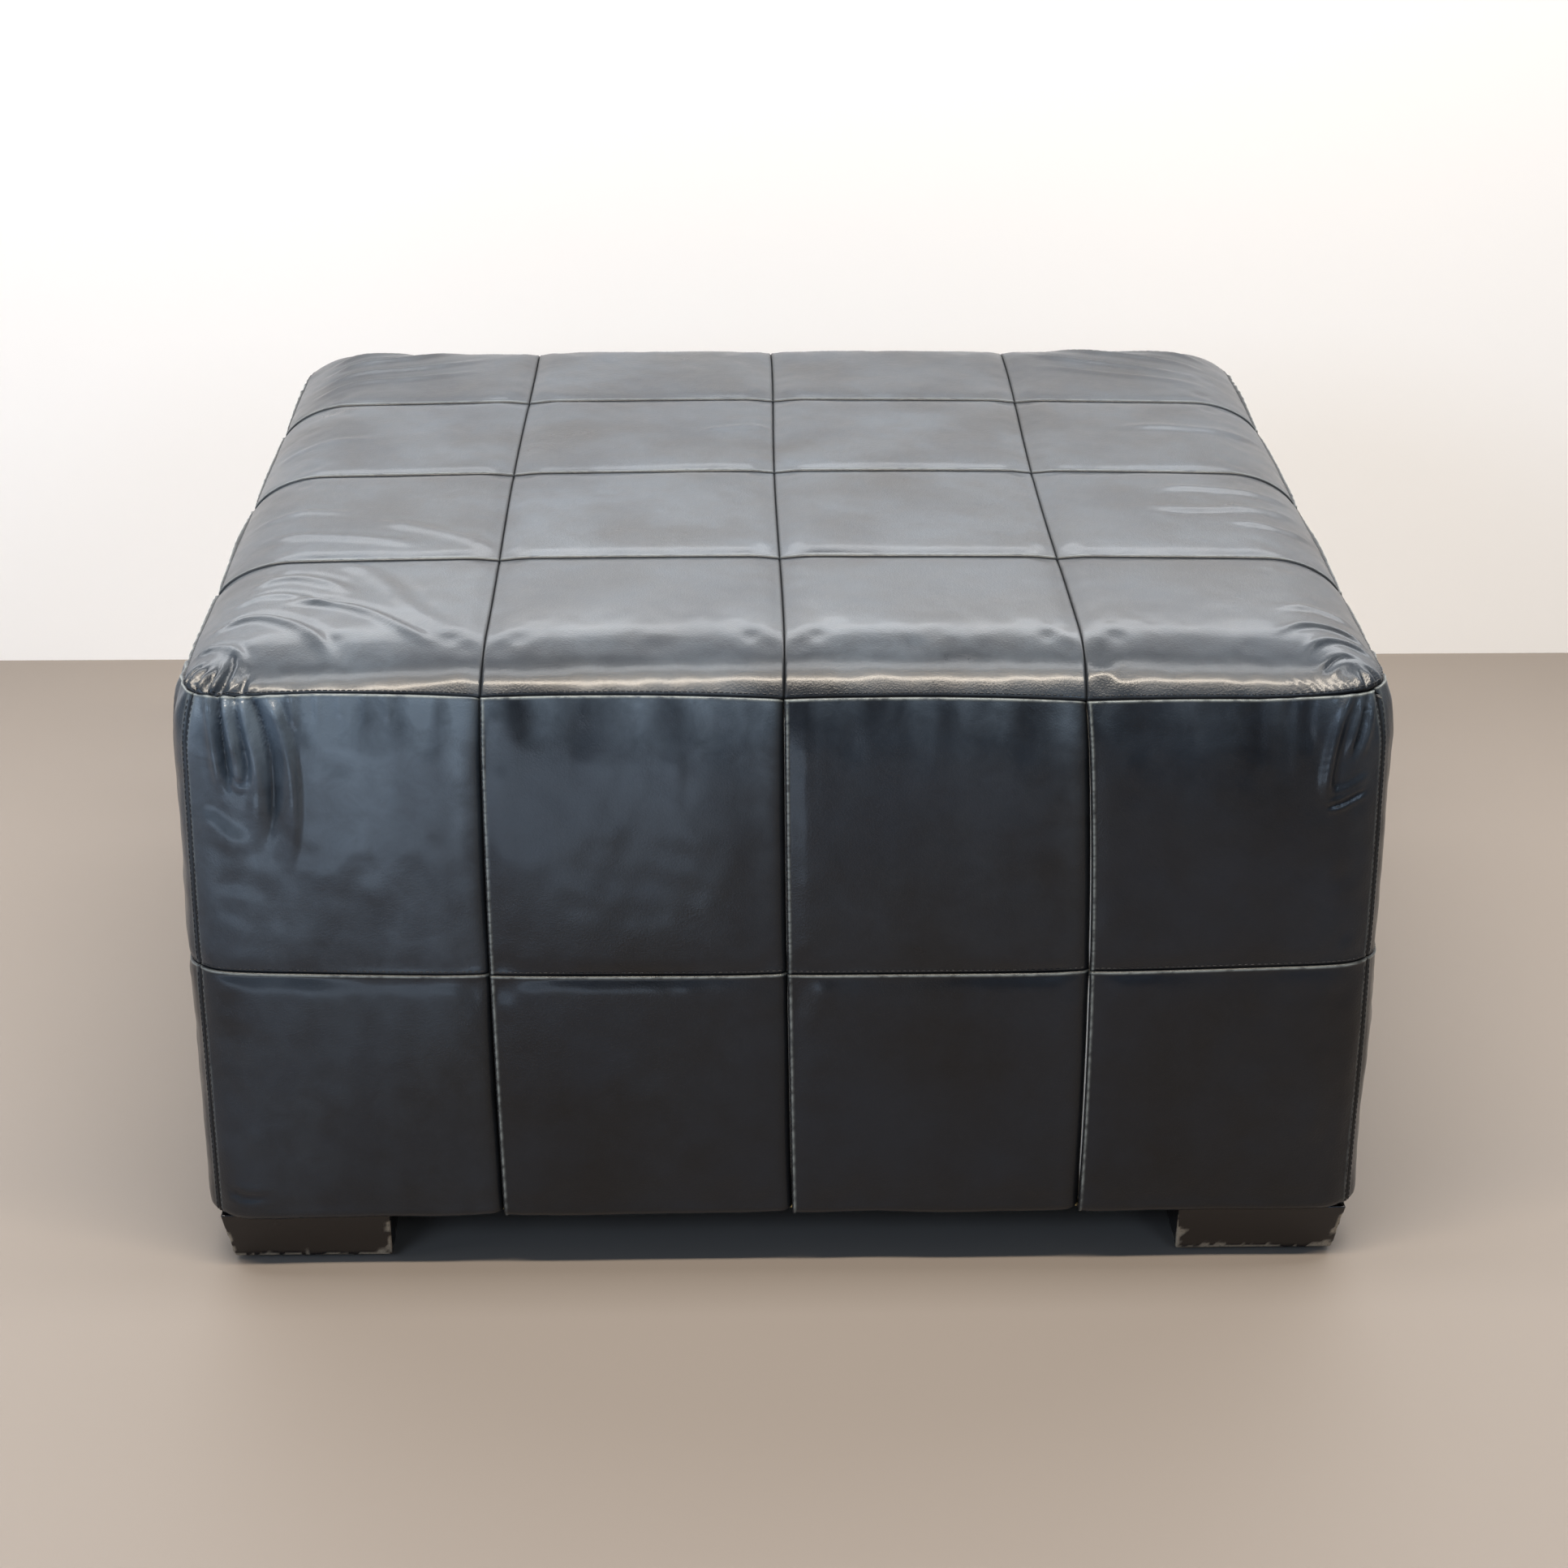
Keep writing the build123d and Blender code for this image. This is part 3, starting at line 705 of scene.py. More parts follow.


# Points, normals, wear, painted seam shade, and haze with painted sheen at shares p, q of a
# patch, folds and seams included.
def patchSpots(patch, p, q):
    sizes = patch["sizes"]
    u, v, points, normals = plainSpots(patch, p, q)
    distances = (p * sizes[0], (1 - p) * sizes[0], q * sizes[1], (1 - q) * sizes[1])
    along = (q * sizes[1], q * sizes[1], p * sizes[0], p * sizes[0])
    if "swell" in patch:
        height = readGrid(patch["swell"], p, q)
    else:
        height = patch["puff"] * (1 - (2 * p - 1) ** 4) * (1 - (2 * q - 1) ** 4)
    still = np.ones(p.shape)
    wear = np.zeros(p.shape)
    shade = np.zeros(p.shape)
    for distance, run, edge in zip(distances, along, patch["edges"]):
        style = seamStyles[edge]
        drop, edgeWear, edgeShade = edgeShape(distance, run, style)
        height = height - drop
        wear = np.maximum(wear, edgeWear)
        shade = np.maximum(shade, edgeShade * (style["depth"] > 0))
        held = 0.35 if "shoulder" in edge else 1.0  # folds run into the shoulder seam
        still = still * (1 - held * np.exp(-((distance / 5.0) ** 2)))
    folded = patch["detail"](u, v, points) * still
    # painted shade in deep folds
    shade = np.maximum(shade, softStep(-folded / 4.0 - 0.3) * 0.8)
    tall = points * (1, 1, 0.5)
    look, seed = hazeAndSheenLook, hazeAndSheenLook["seed"]
    cloud, fleck = ripples(tall, look["cloudMm"], seed), ripples(tall, look["fleckMm"], seed + 1)
    bloom = softStep(0.55 + 0.26 * cloud + 0.07 * fleck)
    haze = patch["haze"] * (0.35 + 0.65 * bloom)
    if "sheenAndRubTop" in patch:  # painted sheen under the shoulder seam, with some rub
        below = np.maximum(topSeam - points[..., 2], 0)
        # haze and painted sheen are strongest just under the shoulder seam and fade downwards
        haze = haze * (0.25 + 0.75 * np.exp(-below / look["sideFade"]))
        streak = 0.6 + 0.4 * ripples(points * (1, 1, 0.1), look["streakMm"], seed + 2)
        # painted sheen band with some rub, in upright streaks
        rubbed = np.exp(-((below / look["sheenAndRubDown"]) ** 1.5)) * np.clip(streak, 0, 1.2)
        # painted highlight where the leather rolls into the seam at the patch's right end
        fromHighlight = ((1 - p) * sizes[0] - look["highlightAt"]) / look["highlightWidth"]
        paintedHighlight = np.exp(-(fromHighlight**2)) * np.exp(-below / look["highlightDown"])
        haze = haze + patch["sheenAndRubTop"] * (rubbed + 0.9 * paintedHighlight)
    return points + normals * (height + folded)[..., None], normals, wear, shade, haze


def patchGrid(patch):
    sizes = patch["sizes"]
    spacing = patch.get("spacing", cover["spacing"])
    across, up = gridLine(sizes[0], spacing), gridLine(sizes[1], spacing)
    p, q = np.meshgrid(across / sizes[0], up / sizes[1], indexing="ij")
    return patchSpots(patch, p, q)


def addAttribute(mesh, name, values):
    layer = mesh.attributes.new(name, "FLOAT", "POINT")
    layer.data.foreach_set("value", np.ascontiguousarray(values, dtype=np.float32).ravel())


def gridFaces(rows, columns, start):
    i, j = np.meshgrid(np.arange(rows - 1), np.arange(columns - 1), indexing="ij")
    a = start + i * columns + j
    return np.stack([a, a + columns, a + columns + 1, a + 1], axis=-1).reshape(-1, 4)


def meshObject(name, points, faces, attributes=None, smooth=True):
    mesh = bpy.data.meshes.new(name)
    points = np.ascontiguousarray(points, dtype=np.float32) * mm
    faces = np.ascontiguousarray(faces, dtype=np.int32)
    mesh.vertices.add(len(points))
    mesh.vertices.foreach_set("co", points.ravel())
    mesh.loops.add(faces.size)
    mesh.loops.foreach_set("vertex_index", faces.ravel())
    mesh.polygons.add(len(faces))
    mesh.polygons.foreach_set("loop_start", np.arange(len(faces), dtype=np.int32) * faces.shape[1])
    for key, values in (attributes or {}).items():
        addAttribute(mesh, key, values)
    mesh.update(calc_edges=True)
    mesh.validate()
    mesh.polygons.foreach_set("use_smooth", np.full(len(faces), smooth))
    piece = bpy.data.objects.new(name, mesh)
    bpy.context.scene.collection.objects.link(piece)
    return piece


# Joins patch grids into one mesh, each with a rim that turns down into its seams.
def patchMesh(name, patches):
    points, faces, wear, shade, haze, start = [], [], [], [], [], 0
    for grid, normals, patchWear, patchShade, patchHazeAndSheen in patches:
        rows, columns = grid.shape[:2]
        points.append(grid.reshape(-1, 3))
        wear.append(patchWear.ravel())
        shade.append(patchShade.ravel())
        haze.append(patchHazeAndSheen.ravel())
        faces.append(gridFaces(rows, columns, start))
        rim = np.concatenate(
            [
                np.arange(rows) * columns,
                (rows - 1) * columns + np.arange(1, columns),
                (np.arange(rows - 1)[::-1]) * columns + columns - 1,
                np.arange(1, columns - 1)[::-1],
            ]
        )
        flatNormals = normals.reshape(-1, 3)
        centre = grid.reshape(-1, 3).mean(axis=0)
        inward = centre - grid.reshape(-1, 3)[rim]
        inward /= np.linalg.norm(inward, axis=1)[:, None]
        lip = grid.reshape(-1, 3)[rim] - flatNormals[rim] * cover["flangeDepth"] + inward * 0.25
        points.append(lip)
        wear.append(np.zeros(len(rim)))
        # the turned-in lip is all in painted shade
        shade.append(np.ones(len(rim)))
        haze.append(np.zeros(len(rim)))
        lipStart = start + rows * columns
        here = start + rim
        ahead = np.roll(here, -1)
        lipHere = lipStart + np.arange(len(rim))
        lipAhead = np.roll(lipHere, -1)
        faces.append(np.stack([here, lipHere, lipAhead, ahead], axis=-1))
        start = lipStart + len(rim)
    attributes = {"wear": wear, "shade": shade, "haze": haze}
    attributes = {key: np.concatenate(values) for key, values in attributes.items()}
    return meshObject(name, np.concatenate(points), np.concatenate(faces), attributes)


# Materials


def linear(hexColour):
    parts = [int(hexColour[i : i + 2], 16) / 255 for i in (1, 3, 5)]
    return [c / 12.92 if c <= 0.04045 else ((c + 0.055) / 1.055) ** 2.4 for c in parts] + [1.0]


# Adds a node, sets its fields and sockets, and joins sockets to (node, output) pairs.
def addNode(tree, kind, fields=None, sockets=None):
    node = tree.nodes.new(kind)
    for key, value in (fields or {}).items():
        setattr(node, key, value)
    for key, value in (sockets or {}).items():
        if isinstance(value, tuple) and hasattr(value[0], "outputs"):
            tree.links.new(value[0].outputs[value[1]], node.inputs[key])
        else:
            node.inputs[key].default_value = value
    return node


def newMaterial(name):
    material = bpy.data.materials.new(name)
    material.use_nodes = True
    tree = material.node_tree
    tree.nodes.clear()
    shader = tree.nodes.new("ShaderNodeBsdfPrincipled")
    output = tree.nodes.new("ShaderNodeOutputMaterial")
    tree.links.new(shader.outputs["BSDF"], output.inputs["Surface"])
    return material, tree, shader


noiseSockets = ("Detail", "Roughness", "Distortion")
rangeSockets = ("From Min", "From Max", "To Min", "To Max")
waveTurn = 6.28  # a wave texture repeats this often over one unit


# Makes what a look lists, by name: attributes of the mesh, noises (size in mm, detail, roughness,
# distortion), other patterns (kind, output, size in mm, fields, sockets), ranges (source, its low
# and high, what they become), sums (operation, values) and tones (source, first and second tone).
def addSources(tree, place, look, ready=()):
    made = dict(ready)
    for name in look.get("attributes", ()):
        made[name] = (addNode(tree, "ShaderNodeAttribute", {"attribute_name": name}), "Fac")
    for name, (size, *settings) in look.get("noises", {}).items():
        sockets = {"Vector": place, "Scale": 1000 / size, **dict(zip(noiseSockets, settings))}
        made[name] = (addNode(tree, "ShaderNodeTexNoise", {}, sockets), "Fac")
    for name, (kind, output, size, fields, more) in look.get("patterns", {}).items():
        sockets = {"Vector": place, "Scale": 1000 / size, **more}
        made[name] = (addNode(tree, kind, fields, sockets), output)
    for name, (source, *limits) in look.get("ranges", {}).items():
        sockets = {"Value": made[source], **dict(zip(rangeSockets, limits))}
        made[name] = (addNode(tree, "ShaderNodeMapRange", {}, sockets), "Result")
    for name, (operation, *values) in look.get("sums", {}).items():
        sockets = {n: made[v] if isinstance(v, str) else v for n, v in enumerate(values)}
        made[name] = (addNode(tree, "ShaderNodeMath", {"operation": operation}, sockets), "Value")
    for name, (amount, *pair) in look.get("tones", {}).items():
        first, second = (linear(tone) if tone[0] == "#" else made[tone] for tone in pair)
        sockets = {"Factor": made[amount], "A": first, "B": second}
        made[name] = (addNode(tree, "ShaderNodeMix", {"data_type": "RGBA"}, sockets), "Result")
    return made


# Stacks a look's bumps (depth in mm, strength), broadest first, and sets up the shader: a name
# stands for the source that leads that socket.
def finishShader(tree, shader, look, made):
    ends = dict(look["shader"])
    for name, (depth, strength) in look.get("bumps", {}).items():
        under = {"Normal": ends["Normal"]} if "Normal" in ends else {}
        sockets = {"Height": made[name], "Distance": depth * mm, "Strength": strength, **under}
        ends["Normal"] = (addNode(tree, "ShaderNodeBump", {}, sockets), "Normal")
    for socket, value in ends.items():
        source = made.get(value) if isinstance(value, str) else value
        if isinstance(source, tuple):
            tree.links.new(source[0].outputs[source[1]], shader.inputs[socket])
        else:
            shader.inputs[socket].default_value = source


# Corrected-grain cow leather, pigmented black and sealed: a semi-gloss skin with fine pores, soft
# cloudy marks from use, a rubbed grey edge wherever a seam stands up, painted sheen on the sides
# under their shoulder seam and painted shade in seams and folds.
leatherLook = {
    "attributes": ("wear", "shade", "haze"),
    "noises": {
        "cloud": (110.0, 5.0, 0.62, 0.0),
        "blot": (24.0, 5.0, 0.62, 0.5),
        "gaps": (9.0, 3.0, 0.55, 0.0),
        "crease": (6.0, 5.0, 0.6, 0.1),
        "pore": (0.5, 2.0, 0.55, 0.0),
    },
    "patterns": {
        "grain": (
            "ShaderNodeTexVoronoi", "Distance", 1.3, {"feature": "SMOOTH_F1"}, {"Smoothness": 0.4}
        ),
    },
    "ranges": {
        "bluer": ("cloud", 0.35, 0.65, 0.0, 1.0),
        "fleck": ("blot", 0.35, 0.65, 0.55, 1.0),
        "broken": ("gaps", 0.32, 0.52, 0.25, 1.0),
        # painted shade: the base colour darkens to 0.3 in seam rolls and deep folds
        "dark": ("shade", 0.0, 1.0, 1.0, 0.3),
        "sheen": ("cloud", 0.3, 0.7, 0.3, 0.4),
        "patchy": ("blot", 0.3, 0.7, -0.05, 0.06),
    },
    "sums": {
        # haze with painted sheen, mottled
        "dull": ("MULTIPLY", "haze", "fleck"),
        "rub": ("MULTIPLY", "wear", "broken"),  # rubbed edges come and go
        "rough": ("ADD", "sheen", "patchy"),
        "roughInFolds": ("MULTIPLY_ADD", "shade", 0.3, "rough"),
    },
    "tones": {  # black with some blue in it, then dulled by haze and lightened by painted sheen, then rubbed grey
        "base": ("bluer", "#0b0d12", "#141a23"),
        "hazed": ("dull", "base", "#56626e"),
        "rubbed": ("rub", "hazed", "#959c9a"),
    },
    "bumps": {"crease": (0.45, 0.4), "grain": (0.2, 0.55), "pore": (0.12, 0.4)},
    "shader": {
        "Base Color": "darker",
        "Roughness": "roughInFolds",
        "IOR": 1.38,
        "Coat Weight": 0.28,
        "Coat Roughness": 0.16,
    },
}


def makeLeather():
    look = leatherLook
    material, tree, shader = newMaterial("pigmented cow leather, pressed grain")
    made = addSources(tree, (addNode(tree, "ShaderNodeTexCoord"), "Object"), look)
    sockets = {0: made["rubbed"], "Scale": made["dark"]}
    darker = addNode(tree, "ShaderNodeVectorMath", {"operation": "SCALE"}, sockets)
    made["darker"] = (darker, "Vector")
    finishShader(tree, shader, look, made)
    return material


# Corner blocks cut from hardwood, stained dark and sprayed with lacquer: a thin gloss over faint
# grain, and raw pale wood where knocks have taken the film off.
lacquerLook = {
    "attributes": ("chip",),
    "noises": {"torn": (1.6, 3.0, 0.55, 0.0)},
    "grain": (3.2, 5.0, 0.6, 0.8),
    "grainStretch": (0.12, 1.0, 1.0),
    "ranges": {
        "ragged": ("torn", 0.3, 0.5, 0.55, 1.0),
        "gloss": ("chip", 0.0, 1.0, 0.27, 0.8),
    },
    "sums": {"bare": ("MULTIPLY", "chip", "ragged")},
    "tones": {"stained": ("grain", "#0d090a", "#171011"), "worn": ("bare", "stained", "#988d7c")},
    "bumps": {"grain": (0.12, 0.5)},
    "shader": {
        "Base Color": "worn",
        "Roughness": "gloss",
        "Coat Weight": 0.2,
        "Coat Roughness": 0.2,
    },
}


def makeFootLacquer():
    look = lacquerLook
    material, tree, shader = newMaterial("stained hardwood, sprayed lacquer")
    place = (addNode(tree, "ShaderNodeTexCoord"), "Object")
    sockets = {"Vector": place, "Scale": look["grainStretch"]}
    along = (addNode(tree, "ShaderNodeMapping", {}, sockets), "Vector")
    grain = addSources(tree, along, {"noises": {"grain": look["grain"]}})
    finishShader(tree, shader, look, addSources(tree, place, look, grain))
    return material


# A finish that its look describes in full.
def makeFinish(name, look):
    material, tree, shader = newMaterial(name)
    place = (addNode(tree, "ShaderNodeTexCoord"), "Object")
    if "stretch" in look:
        sockets = {"Vector": place, "Scale": look["stretch"]}
        place = (addNode(tree, "ShaderNodeMapping", {}, sockets), "Vector")
    if "waver" in look:
        waver, _ = addSources(tree, place, {"noises": {"waver": look["waver"]}})["waver"]
        sockets = {0: place, 1: (waver, "Color")}
        moved = addNode(tree, "ShaderNodeVectorMath", {"operation": "ADD"}, sockets)
        place = (moved, "Vector")
    finishShader(tree, shader, look, addSources(tree, place, look))
    return material


leather = makeLeather()
footLacquer = makeFootLacquer()

# Twisted filament thread, black: a fine diagonal twist catches the light.
twist = {"bands_direction": "DIAGONAL"}
threadLook = {
    "patterns": {"twist": ("ShaderNodeTexWave", "Fac", 0.8 * waveTurn, twist, {})},
    "tones": {"tone": ("twist", "#0c0d10", "#1d1f24")},
    "bumps": {"twist": (0.08, 0.5)},
    "shader": {"Base Color": "tone", "Roughness": 0.45},
}
thread = makeFinish("bonded nylon thread", threadLook)

# Open-cell foam sawn from a block: matt, with a pitted face that softens every edge of light.
foamLook = {
    "patterns": {"cell": ("ShaderNodeTexVoronoi", "Distance", 1.4, {}, {})},
    "tones": {"tone": ("cell", "#bfae74", "#dccf9c")},
    "bumps": {"cell": (0.5, 0.5)},
    "shader": {"Base Color": "tone", "Roughness": 0.95},
}
foam = makeFinish("cut polyurethane foam", foamLook)

# Bonded polyester fibre: a white fluffy fleece with loose clumps.
waddingLook = {
    "noises": {"clump": (12.0, 4.0, 0.55, 0.0), "fibre": (1.2, 2.0, 0.55, 2.0)},
    "tones": {"tone": ("clump", "#cfcdc6", "#f0efeb")},
    "bumps": {"clump": (2.0, 0.5), "fibre": (0.4, 0.5)},
    "shader": {"Base Color": "tone", "Roughness": 0.97},
}
wadding = makeFinish("bonded polyester wadding", waddingLook)

# Planed softwood: yellow early wood with narrow brown late-wood lines along each stick.
rings = {"wave_type": "RINGS", "rings_direction": "X"}
ringWander = {"Distortion": 2.0, "Detail": 2.0}
pineLook = {
    "waver": (60.0, 2.0, 0.55, 0.0),
    "patterns": {"ring": ("ShaderNodeTexWave", "Fac", 7.0 * waveTurn, rings, ringWander)},
    "tones": {"tone": ("ring", "#e0c394", "#b58a52")},
    "bumps": {"ring": (0.1, 0.5)},
    "shader": {"Base Color": "tone", "Roughness": 0.62},
}
pine = makeFinish("planed pine", pineLook)

# Rotary-peeled birch plywood: broad pale figure on the face.
plywoodLook = {
    "stretch": (1.0, 0.2, 6.0),
    "noises": {"figure": (40.0, 6.0, 0.6, 1.5)},
    "tones": {"tone": ("figure", "#dcc397", "#c2a06d")},
    "bumps": {"figure": (0.15, 0.5)},
    "shader": {"Base Color": "tone", "Roughness": 0.6},
}
plywood = makeFinish("peeled birch plywood", plywoodLook)

# Pressed wood fibre: brown, smooth and finely mottled.
hardboardLook = {
    "noises": {"fleck": (2.5, 4.0, 0.7, 0.0)},
    "tones": {"tone": ("fleck", "#7a5636", "#5f4128")},
    "bumps": {"fleck": (0.08, 0.5)},
    "shader": {"Base Color": "tone", "Roughness": 0.5},
}
hardboard = makeFinish("pressed hardboard", hardboardLook)

# Spunbond polypropylene: black cloth with a dot pattern pressed in to bond it.
spunbondLook = {
    "noises": {"cloud": (35.0, 3.0, 0.55, 0.0)},
    "patterns": {"dots": ("ShaderNodeTexVoronoi", "Distance", 1.8, {}, {"Randomness": 0.15})},
    "tones": {"tone": ("cloud", "#141415", "#242426")},
    "bumps": {"dots": (0.25, 0.5)},
    "shader": {"Base Color": "tone", "Roughness": 0.9},
}
spunbond = makeFinish("spunbond black cloth", spunbondLook)

# Zinc-plated steel wire and bar: bright grey with a slightly uneven plated skin.
zincLook = {
    "noises": {"cloud": (3.0, 3.0, 0.55, 0.0)},
    "ranges": {"uneven": ("cloud", 0.3, 0.7, 0.25, 0.42)},
    "tones": {"tone": ("cloud", "#b9bcbe", "#8f9396")},
    "shader": {"Base Color": "tone", "Roughness": "uneven", "Metallic": 1.0},
}
zincSteel = makeFinish("zinc-plated steel", zincLook)

# Moulded nylon glides: dull dark plastic, scuffed underneath.
nylonLook = {
    "noises": {"scuff": (4.0, 4.0, 0.65, 0.0)},
    "ranges": {"scuffed": ("scuff", 0.5, 0.7, 0.0, 1.0)},
    "tones": {"tone": ("scuffed", "#1c1c1d", "#3c3c3d")},
    "bumps": {"scuff": (0.06, 0.5)},
    "shader": {"Base Color": "tone", "Roughness": 0.5},
}
glideNylon = makeFinish("moulded nylon", nylonLook)
print("materials made")


# The leather cover

topOuterRun = topHalfRun - patchPitch
sideOuterRun = sideHalfRun - patchPitch


def cellRun(index, outer):
    return outer if index in (0, 3) else patchPitch


# Each patch has dulled by its own amount, 0 to 1. On the front the amounts also hold painted sheen:
# brightest on the upper left patch, where the light falls, and less to the right and lower down.
hazeAndSheenBySide = {
    "front": {"upper": (0.85, 0.26, 0.14, 0.04), "lower": (0.42, 0.1, 0.05, 0.02)},
    "right": {"upper": (0.2, 0.4, 0.5, 0.3), "lower": (0.2, 0.3, 0.4, 0.3)},
    "back": {"upper": (0.4, 0.3, 0.5, 0.4), "lower": (0.3, 0.4, 0.2, 0.3)},
    "left": {"upper": (0.3, 0.5, 0.4, 0.6), "lower": (0.3, 0.3, 0.5, 0.4)},
}
# Painted sheen under each side's shoulder seam, with some rub: strongest on the front's left patch,
# where the light falls most.
sheenAndRubTop = {
    "front": (1.3, 0.6, 0.3, 0.25),
    "right": (0.3, 0.3, 0.4, 0.3),
    "back": (0.3, 0.4, 0.3, 0.4),
    "left": (0.4, 0.3, 0.4, 0.4),
}
topHaze = (
    (0.35, 0.3, 0.3, 0.2),
    (0.3, 0.4, 0.35, 0.3),
    (0.4, 0.35, 0.4, 0.3),
    (0.3, 0.4, 0.3, 0.3),
)


def topPatch(row, column):
    return {
        "haze": topHaze[row][column],
        "spacing": cover["fineSpacing"] if row == 0 and column in (0, 3) else cover["spacing"],
        "form": topForm,
        "detail": topDetail,
        "corner": (column - 2, row - 2),
        "sizes": (cellRun(column, topOuterRun), cellRun(row, topOuterRun)),
        "edges": (
            "shoulderAbove" if column == 0 else "topColumn",
            "shoulderAbove" if column == 3 else "topColumn",
            "shoulderAbove" if row == 0 else "topRowFar",
            "shoulderAbove" if row == 3 else "topRowNear",
        ),
        "puff": 1.3,
    }


def sidePatch(side, rowName, column):
    lower = rowName == "lower"
    return {
        "haze": hazeAndSheenBySide[side][rowName][column],
        "sheenAndRubTop": 0.0 if lower else sheenAndRubTop[side][column],
        "spacing": cover["fineSpacing"] if side == "front" and not lower else cover["spacing"],
        "form": sideForm(side),
        "detail": sideDetail(side),
        "corner": (column - 2, 0 if lower else 1),
        "sizes": (cellRun(column, sideOuterRun), lowerRun if lower else topSeam - midSeam),
        "edges": (
            "corner" if column == 0 else "sideRightOf",
            "corner" if column == 3 else "sideLeftOf",
            "hem" if lower else "middleAbove",
            "middleBelow" if lower else "shoulderBelow",
        ),
        "puff": 1.7,
    }


# Thread shows where a row is topstitched: each entry is an edge and the row's distance from it.
threadRows = {"shoulderAbove": 3.6, "middleAbove": 2.4, "sideRightOf": 0.75, "corner": 2.5}


# One stitch: a short capsule along X.
def capsule(length, radius, around=6):
    rings = [(-length / 2, 0.0), (-length / 2 + radius * 0.4, 0.75), (-length / 2 + radius, 1.0)]
    rings += [(-x, r) for x, r in rings[::-1]]
    angles = np.arange(around) * 2 * math.pi / around
    circle = [(radius * math.cos(a), radius * math.sin(a)) for a in angles]
    points = [(x, r * y, r * z) for x, r in rings for y, z in circle]
    faces = []
    for k in range(len(rings) - 1):
        for n in range(around):
            m = (n + 1) % around
            here, ahead = k * around, (k + 1) * around
            faces.append((here + n, here + m, ahead + m, ahead + n))
    return np.array(points), np.array(faces)


def stitchRows(patches):
    shape, shapeFaces = capsule(stitching["length"], stitching["radius"])
    points, faces, start = [], [], 0
    for patch in patches:
        for number, edge in enumerate(patch["edges"]):
            if edge not in threadRows:
                continue
            length = patch["sizes"][1] if number < 2 else patch["sizes"][0]
            skip = cover["hemFlange"] if number < 2 and patch["edges"][2] == "hem" else 0.0
            places = np.arange(skip + 5.0, length - 3.0, stitching["pitch"])
            share = places / length
            off = threadRows[edge] / patch["sizes"][0 if number < 2 else 1]
            inset = np.full(share.shape, off if number in (0, 2) else 1 - off)
            step = 0.5 / length
            spots = []
            for shift in (0, step, -step):
                pair = (inset, share + shift) if number < 2 else (share + shift, inset)
                spots.append(patchSpots(patch, *pair))
            centre, normal = spots[0][0], spots[0][1]
            along = spots[1][0] - spots[2][0]
            along /= np.linalg.norm(along, axis=1)[:, None]
            across = np.cross(normal, along)
            across /= np.linalg.norm(across, axis=1)[:, None]
            up = np.cross(along, across)
            lift = centre + up * (stitching["radius"] * 0.35 - stitching["sunk"])
            one = (
                lift[:, None, :]
                + shape[None, :, 0:1] * along[:, None, :]
                + shape[None, :, 1:2] * across[:, None, :]
                + shape[None, :, 2:3] * up[:, None, :]
            )
            count = len(places)
            points.append(one.reshape(-1, 3))
            for k in range(count):
                faces.append(shapeFaces + start + k * len(shape))
            start += count * len(shape)
    return np.concatenate(points), np.concatenate(faces)


# A piece of cover and, on top of it, its thread; both stand for the same node.
def finishPatch(name, patches, node):
    piece = patchMesh(name, [patchGrid(patch) for patch in patches])
    piece.data.materials.append(leather)
    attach(piece, rootBody)
    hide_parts(node)
    if any(edge in threadRows for patch in patches for edge in patch["edges"]):
        rows = meshObject(f"{name}_thread", *stitchRows(patches))
        rows.data.materials.append(thread)
        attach(rows, rootBody)
        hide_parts(node)


pieces = {}
for row, rowName in enumerate("abcd"):
    for column in range(4):
        node = f"top_patch_{rowName}{column + 1}"
        pieces[node] = [topPatch(row, column)]
for side in sideTurn:
    for rowName in ("lower", "upper"):
        row = [sidePatch(side, rowName, column) for column in range(4)]
        pieces[f"side_{side}_{rowName}_patches"] = row
simulateSwell([patch for patches in pieces.values() for patch in patches])
for node, patches in pieces.items():
    finishPatch("leather_" + node.replace("side_", "").replace("_patches", ""), patches, node)
print("leather patches made")


# Soft layers under the cover: they follow the cover's own form a few mm further in, pressed down
# along every seam.
layers = {
    "wadding": {"outer": 3.3, "inner": 5.2, "spacing": 9.0},
    "foam": {"outer": 5.5},
    "seamPress": 4.4,
    "seamWidth": 7.0,
}
straightSteps = int(2 * cover["flat"] / layers["wadding"]["spacing"])
straightRun = np.linspace(-cover["flat"], cover["flat"], straightSteps)
cornerShare = np.linspace(0, 1, 7)[1:]


def fullRun(cornerRun):
    tail = cover["flat"] + cornerRun * cornerShare
    return np.concatenate([-tail[::-1], straightRun, tail])


def seamPress(run, across):
    gaps = [(run - column * patchPitch) / layers["seamWidth"] for column in (-1, 0, 1)]
    return layers["seamPress"] * np.clip(sum(np.exp(-(gap**2)) for gap in gaps) + across, 0, 1)


# Wide, smooth hollows where the leather folds inwards, so that nothing under it shows.
def foldPress(flatPoints, folds):
    total = np.zeros(flatPoints.shape[:-1])
    for fold in folds:
        height, width = abs(fold["height"]) + 0.6, fold["width"] + 6.0
        soft = foldAt(height, width, *fold["points"], hollow=0.0, fades=(0.02, 0.15))
        total = np.maximum(total, foldHeight(flatPoints, soft))
    return total


def topLayer(inset):
    run = fullRun(cover["shoulderRun"])
    a, b = np.meshgrid(run, run, indexing="ij")
    points = topSurface(a, b)
    rim = np.exp(-(((topHalfRun - np.maximum(np.abs(a), np.abs(b))) / layers["seamWidth"]) ** 2))
    press = np.maximum(seamPress(a, rim), seamPress(b, 0))
    press = np.maximum(press, 0.7 * foldPress(points[..., :2], topFolds))
    return points - surfaceNormals(points) * (inset + press)[..., None]


